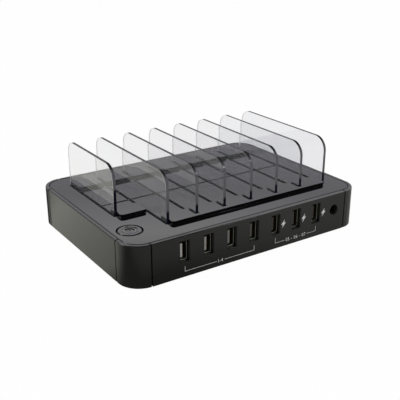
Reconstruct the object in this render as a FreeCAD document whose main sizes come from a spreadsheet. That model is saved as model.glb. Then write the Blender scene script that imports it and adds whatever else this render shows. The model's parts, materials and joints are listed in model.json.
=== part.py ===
"""A desk charging station with seven USB sockets and eight clear dividers.

The frame has +Z up, X along the front and Y towards the rear. The origin is on the
table, below the middle of the case. All sizes are in millimetres.
"""
import FreeCAD, Part
import os
import Sketcher

SIZES = {
    # Case
    "case_width": 190.0,
    "case_depth": 138.0,
    "case_height": 28.5,
    "corner_radius": 15.0,
    "side_wall": 2.6,
    "floor_wall": 2.4,
    "rim_chamfer": 0.5,
    "column_run_x": 14.95,
    "column_run_y": 17.35,
    "seam_gap": 0.8,
    "lip_wall": 1.6,
    "lip_reach": 4.0,
    "lip_root": 5.0,
    "panel_rib_depth": 3.0,
    "panel_rib_height": 3.0,
    "panel_rib_length": 12.0,
    "panel_rib_share": 0.3,
    "vent_count": 13,
    "vent_width": 2.4,
    "vent_length": 26.0,
    "vent_pitch": 7.0,
    "vent_inset": 42.0,
    "cut_overrun": 1.0,
    # Rubber feet
    "foot_diameter": 10.0,
    "foot_drop": 0.7,
    "foot_recess": 0.8,
    "foot_inset": 20.0,
    "foot_edge": 0.4,
    # Case screws, their bosses in the tray and posts under the cover
    "boss_inset_x": 12.5,
    "boss_inset_y": 11.5,
    "boss_diameter": 8.4,
    "boss_height": 5.0,
    "post_diameter": 7.0,
    "counterbore_depth": 3.4,
    "case_screw_diameter": 3.0,
    "case_screw_length": 12.0,
    "case_screw_head_diameter": 5.6,
    "case_screw_head_height": 2.0,
    "screw_clearance": 0.4,
    "pilot_clearance": 0.1,
    "pilot_spare": 1.0,
    # Top cover
    "cover_wall": 2.4,
    "cover_gap": 0.35,
    "cover_edge": 0.4,
    "bar_height": 2.2,
    "bar_corner": 2.5,
    "front_bar_inset": 17.5,
    "front_bar_depth": 14.2,
    "notch_bar_inset": 45.0,
    "notch_bar_depth": 14.5,
    "rear_bar_inset": 15.5,
    "rear_bar_depth": 16.6,
    "cross_groove_inset": 71.0,
    "cross_groove_width": 1.6,
    "cross_groove_depth": 1.0,
    # Clear dividers and their slots
    "divider_count": 8,
    "divider_side_inset": 17.65,
    "divider_thickness": 2.2,
    "divider_rise": 34.3,
    "divider_front_inset": 21.0,
    "divider_rear_inset": 18.5,
    "short_divider_inset": 50.2,
    "divider_front_radius": 10.0,
    "divider_rear_radius": 9.0,
    "slot_clearance": 0.15,
    "slot_depth": 6.0,
    "mouth_widening": 0.45,
    "mouth_depth": 1.8,
    "trough_wall": 1.2,
    # Power button and its switch
    "button_inset_x": 14.5,
    "button_inset_y": 25.5,
    "button_diameter": 15.6,
    "button_gap": 0.9,
    "button_proud": 0.1,
    "button_edge": 0.5,
    "button_dish_diameter": 8.4,
    "button_dish_depth": 0.5,
    "button_collar_wall": 1.4,
    "button_collar_drop": 2.0,
    "button_flange": 1.8,
    "button_flange_thickness": 1.0,
    "button_stem_diameter": 5.0,
    "button_travel": 1.2,
    "switch_side": 12.0,
    "switch_height": 4.3,
    "switch_wall": 0.6,
    "plunger_diameter": 6.6,
    "plunger_rise": 3.4,
    "plunger_clearance": 0.1,
    "plunger_edge": 0.4,
    # USB sockets
    "port_count": 7,
    "port_start": 39.0,
    "port_end": 42.1,
    "port_drop": 10.95,
    "port_side_clearance": 0.65,
    "port_end_clearance": 0.4,
    "port_chamfer": 0.5,
    "shell_height": 13.1,
    "shell_width": 5.7,
    "shell_depth": 14.0,
    "shell_wall": 0.35,
    "shell_corner": 0.8,
    "shell_recess": 2.4,
    "tongue_thickness": 1.84,
    "tongue_height": 9.4,
    "tongue_recess": 0.4,
    "tongue_offset": 0.9,
    "tongue_chamfer": 0.45,
    "tongue_block_depth": 4.0,
    "contact_count": 4,
    "contact_width": 1.1,
    "contact_pitch": 2.4,
    "contact_thickness": 0.25,
    "contact_recess": 0.6,
    # Power inlet
    "jack_inset": 25.2,
    "jack_drop": 12.2,
    "jack_hole_diameter": 7.0,
    "jack_hole_chamfer": 0.6,
    "jack_gap": 0.2,
    "jack_width": 9.0,
    "jack_body_height": 10.8,
    "jack_depth": 14.4,
    "jack_shoulder": 2.5,
    "jack_bore_diameter": 6.4,
    "jack_bore_depth": 9.5,
    "jack_pin_diameter": 2.1,
    "jack_pin_length": 8.5,
    "jack_pin_edge": 0.5,
    # Circuit board and what stands on it
    "board_thickness": 1.6,
    "board_boss_gap": 1.3,
    "board_depth": 56.0,
    "board_front_gap": 0.4,
    "board_wing_margin": 1.5,
    "standoff_diameter": 6.0,
    "standoff_side_inset": 6.0,
    "standoff_front_inset": 8.0,
    "standoff_rear_inset": 4.5,
    "board_screw_diameter": 2.5,
    "board_screw_skin": 2.5,
    "board_screw_head_diameter": 5.0,
    "board_screw_head_height": 1.8,
    "chip_length": 6.0,
    "chip_width": 5.0,
    "chip_height": 1.6,
    "chip_row": 20.0,
    "inductor_count": 5,
    "inductor_side": 10.0,
    "inductor_height": 6.0,
    "inductor_chamfer": 1.2,
    "inductor_row": 31.0,
    "capacitor_count": 5,
    "capacitor_diameter": 8.0,
    "capacitor_height": 9.4,
    "capacitor_edge": 0.6,
    "capacitor_row": 45.0,
}

doc = FreeCAD.newDocument("charging_station_organizer")
sheet = doc.addObject("Spreadsheet::Sheet", "dim")
for row, (alias, size) in enumerate(SIZES.items(), start=1):
    sheet.set(f"A{row}", alias)
    sheet.set(f"B{row}", str(size))
    sheet.setAlias(f"B{row}", alias)
doc.recompute()

# Levels and planes that several pieces share, as expressions on the sheet
FRONT = "(-dim.case_depth / 2)"
REAR = "(dim.case_depth / 2)"
LEFT = "(-dim.case_width / 2)"
RIGHT = "(dim.case_width / 2)"
FLOOR_TOP = "(dim.foot_drop + dim.floor_wall)"
CASE_TOP = "(dim.foot_drop + dim.case_height)"
COVER_UNDER = f"({CASE_TOP} - dim.cover_wall)"
BOSS_TOP = f"({FLOOR_TOP} + dim.boss_height)"
DIVIDER_PITCH = "((dim.case_width - 2 * dim.divider_side_inset) / (dim.divider_count - 1))"
PORT_PITCH = "((dim.case_width - dim.port_start - dim.port_end) / (dim.port_count - 1))"
PORT_HEIGHT = "(dim.case_height - dim.port_drop)"
PORT_Z = f"(dim.foot_drop + {PORT_HEIGHT})"
JACK_X = f"({RIGHT} - dim.jack_inset)"
JACK_HEIGHT = "(dim.case_height - dim.jack_drop)"
JACK_Z = f"(dim.foot_drop + {JACK_HEIGHT})"
BOARD_TOP = f"({PORT_Z} - dim.shell_height / 2)"
BOARD_UNDER = f"({BOARD_TOP} - dim.board_thickness)"
BOARD_FRONT = f"({FRONT} + dim.side_wall + dim.board_front_gap)"
BOARD_SIDE = f"({RIGHT} - dim.boss_inset_x - dim.boss_diameter / 2 - dim.board_boss_gap)"
BOARD_SCREW_END = "(dim.foot_drop + dim.board_screw_skin)"
BUTTON_X = f"({LEFT} + dim.button_inset_x)"
BUTTON_Y = f"({FRONT} + dim.button_inset_y)"
PLUNGER_TOP = f"({BOARD_TOP} + dim.switch_height + dim.plunger_rise)"
BUTTON_HOLE_RADIUS = "(dim.button_diameter / 2 + dim.button_gap)"
SLOT_HALF = "(dim.divider_thickness / 2 + dim.slot_clearance)"
SLOT_FLOOR = f"({CASE_TOP} - dim.slot_depth)"
DIVIDER_FRONT = f"({FRONT} + dim.divider_front_inset)"
SHORT_DIVIDER_FRONT = f"({FRONT} + dim.short_divider_inset)"
DIVIDER_REAR = f"({REAR} - dim.divider_rear_inset)"

SIGNS = ("-1", "1")
QUARTER_TURN = 90
FULL_TURN = 360
MATCH_TOLERANCE = 1e-5


def number(expression):
    """The value of an expression on the sheet."""
    return float(sheet.evalExpression(str(expression)))


def count(alias):
    """A whole number from the sheet."""
    return int(round(number(f"dim.{alias}")))


def bind(owner, place, expression):
    """Tie a property to the sheet."""
    owner.setExpression(place, str(expression))


def port_x(index):
    return f"({LEFT} + dim.port_start + {index} * {PORT_PITCH})"


def divider_x(index):
    return f"((2 * {index} - dim.divider_count + 1) / 2 * {DIVIDER_PITCH})"


def divider_front(index):
    """The first plate stops short of the step beside the button."""
    return SHORT_DIVIDER_FRONT if index == 0 else DIVIDER_FRONT


def row_x(index, total):
    """Places along a row on the board, each midway between two slots."""
    return f"((2 * {index} - {total} + 1) / 2 * {DIVIDER_PITCH})"


def centred_row(total):
    """An odd row keeps its places under the bays, so their number is made odd."""
    return total if total % 2 else total - 1


# Sketch and feature helpers

def new_body(label, x="0", y="0", z="0", turn=0):
    """A sub-part with its own name and placement."""
    body = doc.addObject("PartDesign::Body", label)
    body.Label = label
    body.Placement.Rotation = FreeCAD.Rotation(FreeCAD.Vector(0, 0, 1), turn)
    for axis, expression in zip("xyz", (x, y, z)):
        bind(body, f"Placement.Base.{axis}", expression)
    sub_parts.append(body)
    return body


def new_sketch(body, role, name, offset="0"):
    """A sketch on one of the body's origin planes, moved along the plane's normal."""
    plane = next(part for part in body.Origin.OriginFeatures if part.Role == role)
    sketch = body.newObject("Sketcher::SketchObject", name)
    sketch.AttachmentSupport = (plane, [""])
    sketch.MapMode = "FlatFace"
    bind(sketch, "AttachmentOffset.Base.z", offset)
    return sketch


def dimension(sketch, expression, kind, *references):
    """A driving constraint whose value comes from the sheet."""
    index = sketch.addConstraint(Sketcher.Constraint(kind, *references, number(expression)))
    name = f"size_{index}"
    sketch.renameConstraint(index, name)
    bind(sketch, f"Constraints.{name}", expression)


def pin_point(sketch, geometry, point, x, y):
    """Dimension a point from the sketch's origin."""
    dimension(sketch, x, "DistanceX", -1, 1, geometry, point)
    dimension(sketch, y, "DistanceY", -1, 1, geometry, point)


def add_line(sketch, start, end):
    first = FreeCAD.Vector(number(start[0]), number(start[1]), 0)
    second = FreeCAD.Vector(number(end[0]), number(end[1]), 0)
    return sketch.addGeometry(Part.LineSegment(first, second), False)


def draw_polygon(sketch, points):
    """A closed outline whose corners are all dimensioned."""
    lines = [add_line(sketch, a, b) for a, b in zip(points, points[1:] + points[:1])]
    for line, following in zip(lines, lines[1:] + lines[:1]):
        sketch.addConstraint(Sketcher.Constraint("Coincident", line, 2, following, 1))
    for line, (x, y) in zip(lines, points):
        pin_point(sketch, line, 1, x, y)


def draw_rectangle(sketch, x_a, y_a, x_b, y_b):
    """A rectangle between two opposite corners, given in any order."""
    x_a, x_b = sorted((x_a, x_b), key=number)
    y_a, y_b = sorted((y_a, y_b), key=number)
    corners = [(x_a, y_a), (x_b, y_a), (x_b, y_b), (x_a, y_b)]
    lines = [add_line(sketch, a, b) for a, b in zip(corners, corners[1:] + corners[:1])]
    for index, line in enumerate(lines):
        following = lines[(index + 1) % len(lines)]
        sketch.addConstraint(Sketcher.Constraint("Coincident", line, 2, following, 1))
        kind = "Vertical" if index % 2 else "Horizontal"
        sketch.addConstraint(Sketcher.Constraint(kind, line))
    pin_point(sketch, lines[0], 1, x_a, y_a)
    pin_point(sketch, lines[2], 1, x_b, y_b)


def draw_centred_rectangle(sketch, x, y, width, depth):
    draw_rectangle(sketch, f"{x} - {width} / 2", f"{y} - {depth} / 2",
                   f"{x} + {width} / 2", f"{y} + {depth} / 2")


def draw_circle(sketch, x, y, diameter):
    centre = FreeCAD.Vector(number(x), number(y), 0)
    circle = Part.Circle(centre, FreeCAD.Vector(0, 0, 1), number(diameter) / 2)
    index = sketch.addGeometry(circle, False)
    pin_point(sketch, index, 3, x, y)
    dimension(sketch, diameter, "Diameter", index)


def draw_rounded_rectangle(sketch, x_a, y_a, x_b, y_b, radius):
    """Four lines joined by four tangent arcs of one radius, from the lower left corner."""
    low_x, high_x = f"{x_a} + {radius}", f"{x_b} - {radius}"
    low_y, high_y = f"{y_a} + {radius}", f"{y_b} - {radius}"
    sides = [((low_x, y_a), (high_x, y_a)), ((x_b, low_y), (x_b, high_y)),
             ((high_x, y_b), (low_x, y_b)), ((x_a, high_y), (x_a, low_y))]
    centres = [(high_x, low_y), (high_x, high_y), (low_x, high_y), (low_x, low_y)]
    lines, arcs = [], []
    for index, (side, centre) in enumerate(zip(sides, centres)):
        lines.append(add_line(sketch, *side))
        middle = FreeCAD.Vector(number(centre[0]), number(centre[1]), 0)
        round_edge = Part.Circle(middle, FreeCAD.Vector(0, 0, 1), number(radius))
        start = FreeCAD.Units.Quantity(QUARTER_TURN * (index - 1), FreeCAD.Units.Angle)
        end = FreeCAD.Units.Quantity(QUARTER_TURN * index, FreeCAD.Units.Angle)
        arc = Part.ArcOfCircle(round_edge, start.getValueAs("rad").Value, end.getValueAs("rad").Value)
        arcs.append(sketch.addGeometry(arc, False))
    for index, (line, arc) in enumerate(zip(lines, arcs)):
        following = lines[(index + 1) % len(lines)]
        sketch.addConstraint(Sketcher.Constraint("Tangent", line, 2, arc, 1))
        sketch.addConstraint(Sketcher.Constraint("Tangent", arc, 2, following, 1))
        kind = "Vertical" if index % 2 else "Horizontal"
        sketch.addConstraint(Sketcher.Constraint(kind, line))
    for arc in arcs[1:]:
        sketch.addConstraint(Sketcher.Constraint("Equal", arcs[0], arc))
    dimension(sketch, radius, "Radius", arcs[0])
    for line, kind, expression in zip(lines, ("DistanceY", "DistanceX") * 2, (y_a, x_b, y_b, x_a)):
        dimension(sketch, expression, kind, -1, 1, line, 1)


def extrude(body, kind, sketch, name, length, reverse=False, symmetric=False):
    """Pad or pocket a sketch. A pad runs along the sketch's normal, a pocket against it."""
    feature = body.newObject(f"PartDesign::{kind}", name)
    feature.Profile = sketch
    feature.SideType = "Symmetric" if symmetric else "One side"
    feature.Reversed = reverse
    bind(feature, "Length", length)
    sketch.Visibility = False
    return feature


def pad(body, sketch, name, length, **options):
    return extrude(body, "Pad", sketch, name, length, **options)


def pocket(body, sketch, name, length, **options):
    """A pocket that has to remove material."""
    doc.recompute()
    before = body.Shape.Volume
    feature = extrude(body, "Pocket", sketch, name, length, **options)
    doc.recompute()
    if body.Shape.Volume >= before - MATCH_TOLERANCE:
        raise RuntimeError(f"{body.Label}: {name} removes nothing")
    return feature


def edge_names(body, wanted):
    """Names of the edges of the body's last feature whose middle passes a test."""
    doc.recompute()
    names = []
    for index, edge in enumerate(body.Tip.Shape.Edges, start=1):
        middle = edge.valueAt((edge.FirstParameter + edge.LastParameter) / 2)
        if wanted(middle):
            names.append(f"Edge{index}")
    if not names:
        raise RuntimeError(f"{body.Label}: no edge found to dress")
    return names


def dress(body, kind, name, size, wanted):
    """Round or chamfer the edges that pass a test."""
    base = body.Tip
    names = edge_names(body, wanted)
    feature = body.newObject(f"PartDesign::{kind}", name)
    feature.Base = (base, names)
    bind(feature, "Radius" if kind == "Fillet" else "Size", size)
    doc.recompute()
    return feature


def near(value, expression):
    return abs(value - number(expression)) < MATCH_TOLERANCE


# Case

def corner_places(inset_x, inset_y):
    """The same place in each corner of the case."""
    return [(f"{sx} * ({RIGHT} - {inset_x})", f"{sy} * ({REAR} - {inset_y})")
            for sx in SIGNS for sy in SIGNS]


def standoff_places():
    """The board's four screws: two between sockets, where plugs push, and two in the rear corners."""
    last = count("port_count") - 1
    front = f"({BOARD_FRONT} + dim.standoff_front_inset)"
    rear = f"({BOARD_FRONT} + dim.board_depth - dim.standoff_rear_inset)"
    side = f"({BOARD_SIDE} - dim.standoff_side_inset)"
    between = [f"(({port_x(low)} + {port_x(low + 1)}) / 2)" for low in (0, last - 1)]
    return [(x, front) for x in between] + [(f"{sign} * {side}", rear) for sign in SIGNS]


def draw_circles(sketch, places, diameter):
    for x, y in places:
        draw_circle(sketch, x, y, diameter)


def draw_panel_windows(sketch):
    """Openings between the corner columns, as deep as a panel is thick."""
    reach_x = f"({RIGHT} - dim.column_run_x)"
    reach_y = f"({REAR} - dim.column_run_y)"
    for sign in SIGNS:
        draw_rectangle(sketch, f"-{reach_x}", f"{sign} * ({REAR} + dim.cut_overrun)",
                       reach_x, f"{sign} * ({REAR} - dim.side_wall)")
        draw_rectangle(sketch, f"{sign} * ({RIGHT} + dim.cut_overrun)", f"-{reach_y}",
                       f"{sign} * ({RIGHT} - dim.side_wall)", reach_y)


def draw_column_lips(sketch):
    """Ribs on the columns that stand behind the ends of the panels and carry the cover."""
    for sx in SIGNS:
        for sy in SIGNS:
            inner_y = f"({REAR} - dim.side_wall)"
            seam_x = f"({RIGHT} - dim.column_run_x)"
            draw_rectangle(sketch, f"{sx} * ({seam_x} - dim.lip_reach)", f"{sy} * {inner_y}",
                           f"{sx} * ({seam_x} + dim.lip_root)", f"{sy} * ({inner_y} - dim.lip_wall)")
            inner_x = f"({RIGHT} - dim.side_wall)"
            seam_y = f"({REAR} - dim.column_run_y)"
            draw_rectangle(sketch, f"{sx} * {inner_x}", f"{sy} * ({seam_y} - dim.lip_reach)",
                           f"{sx} * ({inner_x} - dim.lip_wall)", f"{sy} * ({seam_y} + dim.lip_root)")


def make_base_tray():
    """Floor and corner columns, with bosses, standoffs, vents and seats for the feet."""
    body = new_body("base_tray", z="dim.foot_drop")
    outline = new_sketch(body, "XY_Plane", "tray_outline")
    draw_rounded_rectangle(outline, LEFT, FRONT, RIGHT, REAR, "dim.corner_radius")
    pad(body, outline, "tray_block", "dim.case_height")
    dress(body, "Chamfer", "tray_rim", "dim.rim_chamfer",
          lambda middle: near(middle.z, "dim.case_height"))

    hollow = new_sketch(body, "XY_Plane", "tray_hollow_outline", "dim.case_height")
    draw_rounded_rectangle(hollow, f"{LEFT} + dim.side_wall", f"{FRONT} + dim.side_wall",
                           f"{RIGHT} - dim.side_wall", f"{REAR} - dim.side_wall",
                           "(dim.corner_radius - dim.side_wall)")
    pocket(body, hollow, "tray_hollow", "dim.case_height - dim.floor_wall")

    windows = new_sketch(body, "XY_Plane", "panel_window_outlines", "dim.case_height + dim.cut_overrun")
    draw_panel_windows(windows)
    pocket(body, windows, "panel_windows", "dim.case_height + 2 * dim.cut_overrun")

    lips = new_sketch(body, "XY_Plane", "lip_outlines", "dim.floor_wall")
    draw_column_lips(lips)
    pad(body, lips, "column_lips", "dim.case_height - dim.cover_wall - dim.floor_wall")

    boss_places = corner_places("dim.boss_inset_x", "dim.boss_inset_y")
    bosses = new_sketch(body, "XY_Plane", "boss_outlines", "dim.floor_wall")
    draw_circles(bosses, boss_places, "dim.boss_diameter")
    pad(body, bosses, "screw_bosses", "dim.boss_height")
    standoffs = new_sketch(body, "XY_Plane", "standoff_outlines", "dim.floor_wall")
    draw_circles(standoffs, standoff_places(), "dim.standoff_diameter")
    pad(body, standoffs, "board_standoffs", f"{BOARD_UNDER} - {FLOOR_TOP}")

    screw_holes = new_sketch(body, "XY_Plane", "screw_hole_outlines", "dim.floor_wall + dim.boss_height")
    draw_circles(screw_holes, boss_places, "dim.case_screw_diameter + dim.screw_clearance")
    pocket(body, screw_holes, "screw_holes", "dim.floor_wall + dim.boss_height")
    counterbores = new_sketch(body, "XY_Plane", "counterbore_outlines")
    draw_circles(counterbores, boss_places, "dim.case_screw_head_diameter + dim.screw_clearance")
    pocket(body, counterbores, "counterbores", "dim.counterbore_depth", reverse=True)
    pilots = new_sketch(body, "XY_Plane", "pilot_outlines", f"{BOARD_UNDER} - dim.foot_drop")
    draw_circles(pilots, standoff_places(), "dim.board_screw_diameter + dim.pilot_clearance")
    pocket(body, pilots, "standoff_pilots", f"{BOARD_UNDER} - {BOARD_SCREW_END} + dim.pilot_spare")
    seats = new_sketch(body, "XY_Plane", "foot_seat_outlines")
    draw_circles(seats, corner_places("dim.foot_inset", "dim.foot_inset"), "dim.foot_diameter")
    pocket(body, seats, "foot_seats", "dim.foot_recess", reverse=True)

    vents = new_sketch(body, "XY_Plane", "vent_outlines", "dim.floor_wall")
    for index in range(count("vent_count")):
        x = f"(2 * {index} - dim.vent_count + 1) / 2 * dim.vent_pitch"
        draw_centred_rectangle(vents, x, f"({REAR} - dim.vent_inset)", "dim.vent_width", "dim.vent_length")
    pocket(body, vents, "floor_vents", "dim.floor_wall")


def make_panel(label, length, x, y, turn):
    """A flat side plate. Its outer face is local y = 0, and two ribs stand on the floor."""
    body = new_body(label, x, y, "dim.foot_drop", turn)
    outline = new_sketch(body, "XY_Plane", f"{label}_outline")
    draw_rectangle(outline, f"-({length}) / 2", "0", f"({length}) / 2", "dim.side_wall")
    pad(body, outline, f"{label}_plate", "dim.case_height")
    dress(body, "Chamfer", f"{label}_rim", "dim.rim_chamfer",
          lambda middle: near(middle.z, "dim.case_height") and near(middle.y, "0"))
    ribs = new_sketch(body, "XY_Plane", f"{label}_rib_outlines", "dim.floor_wall")
    for sign in SIGNS:
        centre = f"({sign} * ({length}) * dim.panel_rib_share)"
        draw_rectangle(ribs, f"{centre} - dim.panel_rib_length / 2", "dim.side_wall",
                       f"{centre} + dim.panel_rib_length / 2", "dim.side_wall + dim.panel_rib_depth")
    pad(body, ribs, f"{label}_ribs", "dim.panel_rib_height")
    return body


def make_front_panel(length):
    """The plate with a window for each socket and the inlet's round hole."""
    body = make_panel("front_panel", length, "0", FRONT, 0)
    windows = new_sketch(body, "XZ_Plane", "port_outlines", "dim.cut_overrun")
    for index in range(count("port_count")):
        draw_centred_rectangle(windows, port_x(index), PORT_HEIGHT,
                               "(dim.shell_width + 2 * dim.port_side_clearance)",
                               "(dim.shell_height + 2 * dim.port_end_clearance)")
    pocket(body, windows, "port_windows", "dim.side_wall + 2 * dim.cut_overrun")
    hole = new_sketch(body, "XZ_Plane", "jack_hole_outline", "dim.cut_overrun")
    draw_circle(hole, JACK_X, JACK_HEIGHT, "dim.jack_hole_diameter")
    pocket(body, hole, "jack_hole", "dim.side_wall + 2 * dim.cut_overrun")

    half_hole = number("dim.jack_hole_diameter") / 2 + MATCH_TOLERANCE
    jack_x = number(JACK_X)
    half_window = number("dim.shell_height / 2 + dim.port_end_clearance") + MATCH_TOLERANCE

    def around_ports(middle):
        beside = abs(middle.z - number(PORT_HEIGHT)) < half_window
        between = abs(middle.x) < number(f"({length}) / 2") - MATCH_TOLERANCE
        return near(middle.y, "0") and beside and between and abs(middle.x - jack_x) > half_hole

    dress(body, "Chamfer", "port_bevels", "dim.port_chamfer", around_ports)

    def around_jack(middle):
        beside = abs(middle.z - number(JACK_HEIGHT)) < half_hole
        return near(middle.y, "0") and beside and abs(middle.x - jack_x) < half_hole

    dress(body, "Chamfer", "jack_bevel", "dim.jack_hole_chamfer", around_jack)


def make_panels():
    long_side = "dim.case_width - 2 * dim.column_run_x - 2 * dim.seam_gap"
    short_side = "dim.case_depth - 2 * dim.column_run_y - 2 * dim.seam_gap"
    make_front_panel(long_side)
    make_panel("right_panel", short_side, RIGHT, "0", QUARTER_TURN)
    make_panel("rear_panel", long_side, "0", REAR, 2 * QUARTER_TURN)
    make_panel("left_panel", short_side, LEFT, "0", 3 * QUARTER_TURN)


def make_feet():
    """Rubber discs glued into shallow seats under the tray."""
    body = new_body("feet")
    outline = new_sketch(body, "XY_Plane", "foot_outlines")
    draw_circles(outline, corner_places("dim.foot_inset", "dim.foot_inset"), "dim.foot_diameter")
    pad(body, outline, "foot_discs", "dim.foot_drop + dim.foot_recess")
    dress(body, "Chamfer", "foot_edges", "dim.foot_edge", lambda middle: near(middle.z, "0"))


def make_screws(label, places, z, head, head_height, shank, length, head_down):
    """Pan-head screws. The origin is the seat of the heads."""
    body = new_body(label, z=z)
    heads = new_sketch(body, "XY_Plane", f"{label}_head_outlines")
    draw_circles(heads, places, head)
    pad(body, heads, f"{label}_heads", head_height, reverse=head_down)
    shanks = new_sketch(body, "XY_Plane", f"{label}_shank_outlines")
    draw_circles(shanks, places, shank)
    pad(body, shanks, f"{label}_shanks", length, reverse=not head_down)


def make_fasteners():
    make_screws("case_screws", corner_places("dim.boss_inset_x", "dim.boss_inset_y"),
                "dim.foot_drop + dim.counterbore_depth", "dim.case_screw_head_diameter",
                "dim.case_screw_head_height", "dim.case_screw_diameter", "dim.case_screw_length", True)
    make_screws("board_screws", standoff_places(), BOARD_TOP, "dim.board_screw_head_diameter",
                "dim.board_screw_head_height", "dim.board_screw_diameter",
                f"{BOARD_TOP} - {BOARD_SCREW_END}", False)


# Top cover and dividers

def draw_bars(sketch):
    """Raised bars that devices lean on, each between two slots."""
    first, second, last = divider_x(0), divider_x(1), divider_x("(dim.divider_count - 1)")
    front = f"({FRONT} + dim.front_bar_inset)"
    notch = f"({FRONT} + dim.notch_bar_inset)"
    rear = f"({REAR} - dim.rear_bar_inset)"
    draw_rounded_rectangle(sketch, f"({second} + {SLOT_HALF})", front, f"({last} - {SLOT_HALF})",
                           f"({front} + dim.front_bar_depth)", "dim.bar_corner")
    draw_rounded_rectangle(sketch, f"({first} + {SLOT_HALF})", notch, f"({second} - {SLOT_HALF})",
                           f"({notch} + dim.notch_bar_depth)", "dim.bar_corner")
    draw_rounded_rectangle(sketch, f"({first} + {SLOT_HALF})", f"({rear} - dim.rear_bar_depth)",
                           f"({last} - {SLOT_HALF})", rear, "dim.bar_corner")


def draw_slots(sketch, margin):
    """One rectangle per divider, wider than its slot by a margin on every side."""
    for index in range(count("divider_count")):
        x = divider_x(index)
        draw_rectangle(sketch, f"{x} - {SLOT_HALF} - {margin}",
                       f"{divider_front(index)} - dim.slot_clearance - {margin}",
                       f"{x} + {SLOT_HALF} + {margin}",
                       f"{DIVIDER_REAR} + dim.slot_clearance + {margin}")


def make_top_cover():
    """The glossy plate inside the rim: bars above, slot troughs, posts and button collar below."""
    body = new_body("top_cover", z=COVER_UNDER)
    inset = "(dim.side_wall + dim.cover_gap)"
    outline = new_sketch(body, "XY_Plane", "cover_outline")
    draw_rounded_rectangle(outline, f"({LEFT} + {inset})", f"({FRONT} + {inset})", f"({RIGHT} - {inset})",
                           f"({REAR} - {inset})", f"(dim.corner_radius - {inset})")
    pad(body, outline, "cover_plate", "dim.cover_wall")
    dress(body, "Chamfer", "cover_rim", "dim.cover_edge", lambda middle: near(middle.z, "dim.cover_wall"))

    bars = new_sketch(body, "XY_Plane", "bar_outlines", "dim.cover_wall")
    draw_bars(bars)
    pad(body, bars, "raised_bars", "dim.bar_height")

    troughs = new_sketch(body, "XY_Plane", "trough_outlines")
    draw_slots(troughs, "dim.trough_wall")
    pad(body, troughs, "slot_troughs", "dim.slot_depth - dim.cover_wall + dim.trough_wall", reverse=True)
    posts = new_sketch(body, "XY_Plane", "post_outlines")
    places = corner_places("dim.boss_inset_x", "dim.boss_inset_y")
    draw_circles(posts, places, "dim.post_diameter")
    pad(body, posts, "screw_posts", f"{COVER_UNDER} - {BOSS_TOP}", reverse=True)
    collar = new_sketch(body, "XY_Plane", "collar_outline")
    draw_circle(collar, BUTTON_X, BUTTON_Y, f"2 * ({BUTTON_HOLE_RADIUS} + dim.button_collar_wall)")
    pad(body, collar, "button_collar", "dim.button_collar_drop", reverse=True)

    slots = new_sketch(body, "XY_Plane", "slot_outlines", "dim.cover_wall + dim.bar_height")
    draw_slots(slots, "0")
    pocket(body, slots, "divider_slots", "dim.bar_height + dim.slot_depth")
    mouths = new_sketch(body, "XY_Plane", "slot_mouth_outlines", "dim.cover_wall + dim.bar_height")
    draw_slots(mouths, "dim.mouth_widening")
    pocket(body, mouths, "slot_mouths", "dim.bar_height + dim.mouth_depth")
    groove = new_sketch(body, "XY_Plane", "cross_groove_outline", "dim.cover_wall")
    reach = f"({divider_x('(dim.divider_count - 1)')})"
    draw_centred_rectangle(groove, "0", f"({FRONT} + dim.cross_groove_inset)", f"(2 * {reach})",
                           "dim.cross_groove_width")
    pocket(body, groove, "cross_groove", "dim.cross_groove_depth")
    hole = new_sketch(body, "XY_Plane", "button_hole_outline", "dim.cover_wall + dim.cut_overrun")
    draw_circle(hole, BUTTON_X, BUTTON_Y, f"2 * {BUTTON_HOLE_RADIUS}")
    pocket(body, hole, "button_hole", "dim.cover_wall + dim.button_collar_drop + 2 * dim.cut_overrun")
    pilots = new_sketch(body, "XY_Plane", "post_pilot_outlines", f"{BOSS_TOP} - {COVER_UNDER}")
    draw_circles(pilots, places, "dim.case_screw_diameter + dim.pilot_clearance")
    screw_entry = "(dim.case_screw_length + dim.counterbore_depth - dim.floor_wall - dim.boss_height)"
    pocket(body, pilots, "post_pilots", f"{screw_entry} + dim.pilot_spare", reverse=True)


def make_dividers():
    """Clear plates with rounded upper corners, standing on the floors of their slots."""
    for index in range(count("divider_count")):
        label = f"divider_{index + 1}"
        front = divider_front(index)
        height = "(dim.slot_depth + dim.divider_rise)"
        body = new_body(label, divider_x(index), "0", SLOT_FLOOR)
        outline = new_sketch(body, "YZ_Plane", f"{label}_outline")
        draw_rectangle(outline, front, "0", DIVIDER_REAR, height)
        pad(body, outline, f"{label}_plate", "dim.divider_thickness", symmetric=True)
        for end, place in (("front", front), ("rear", DIVIDER_REAR)):
            dress(body, "Fillet", f"{label}_{end}_corner", f"dim.divider_{end}_radius",
                  lambda middle: near(middle.z, height) and near(middle.y, place))


# Power button and switch

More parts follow.
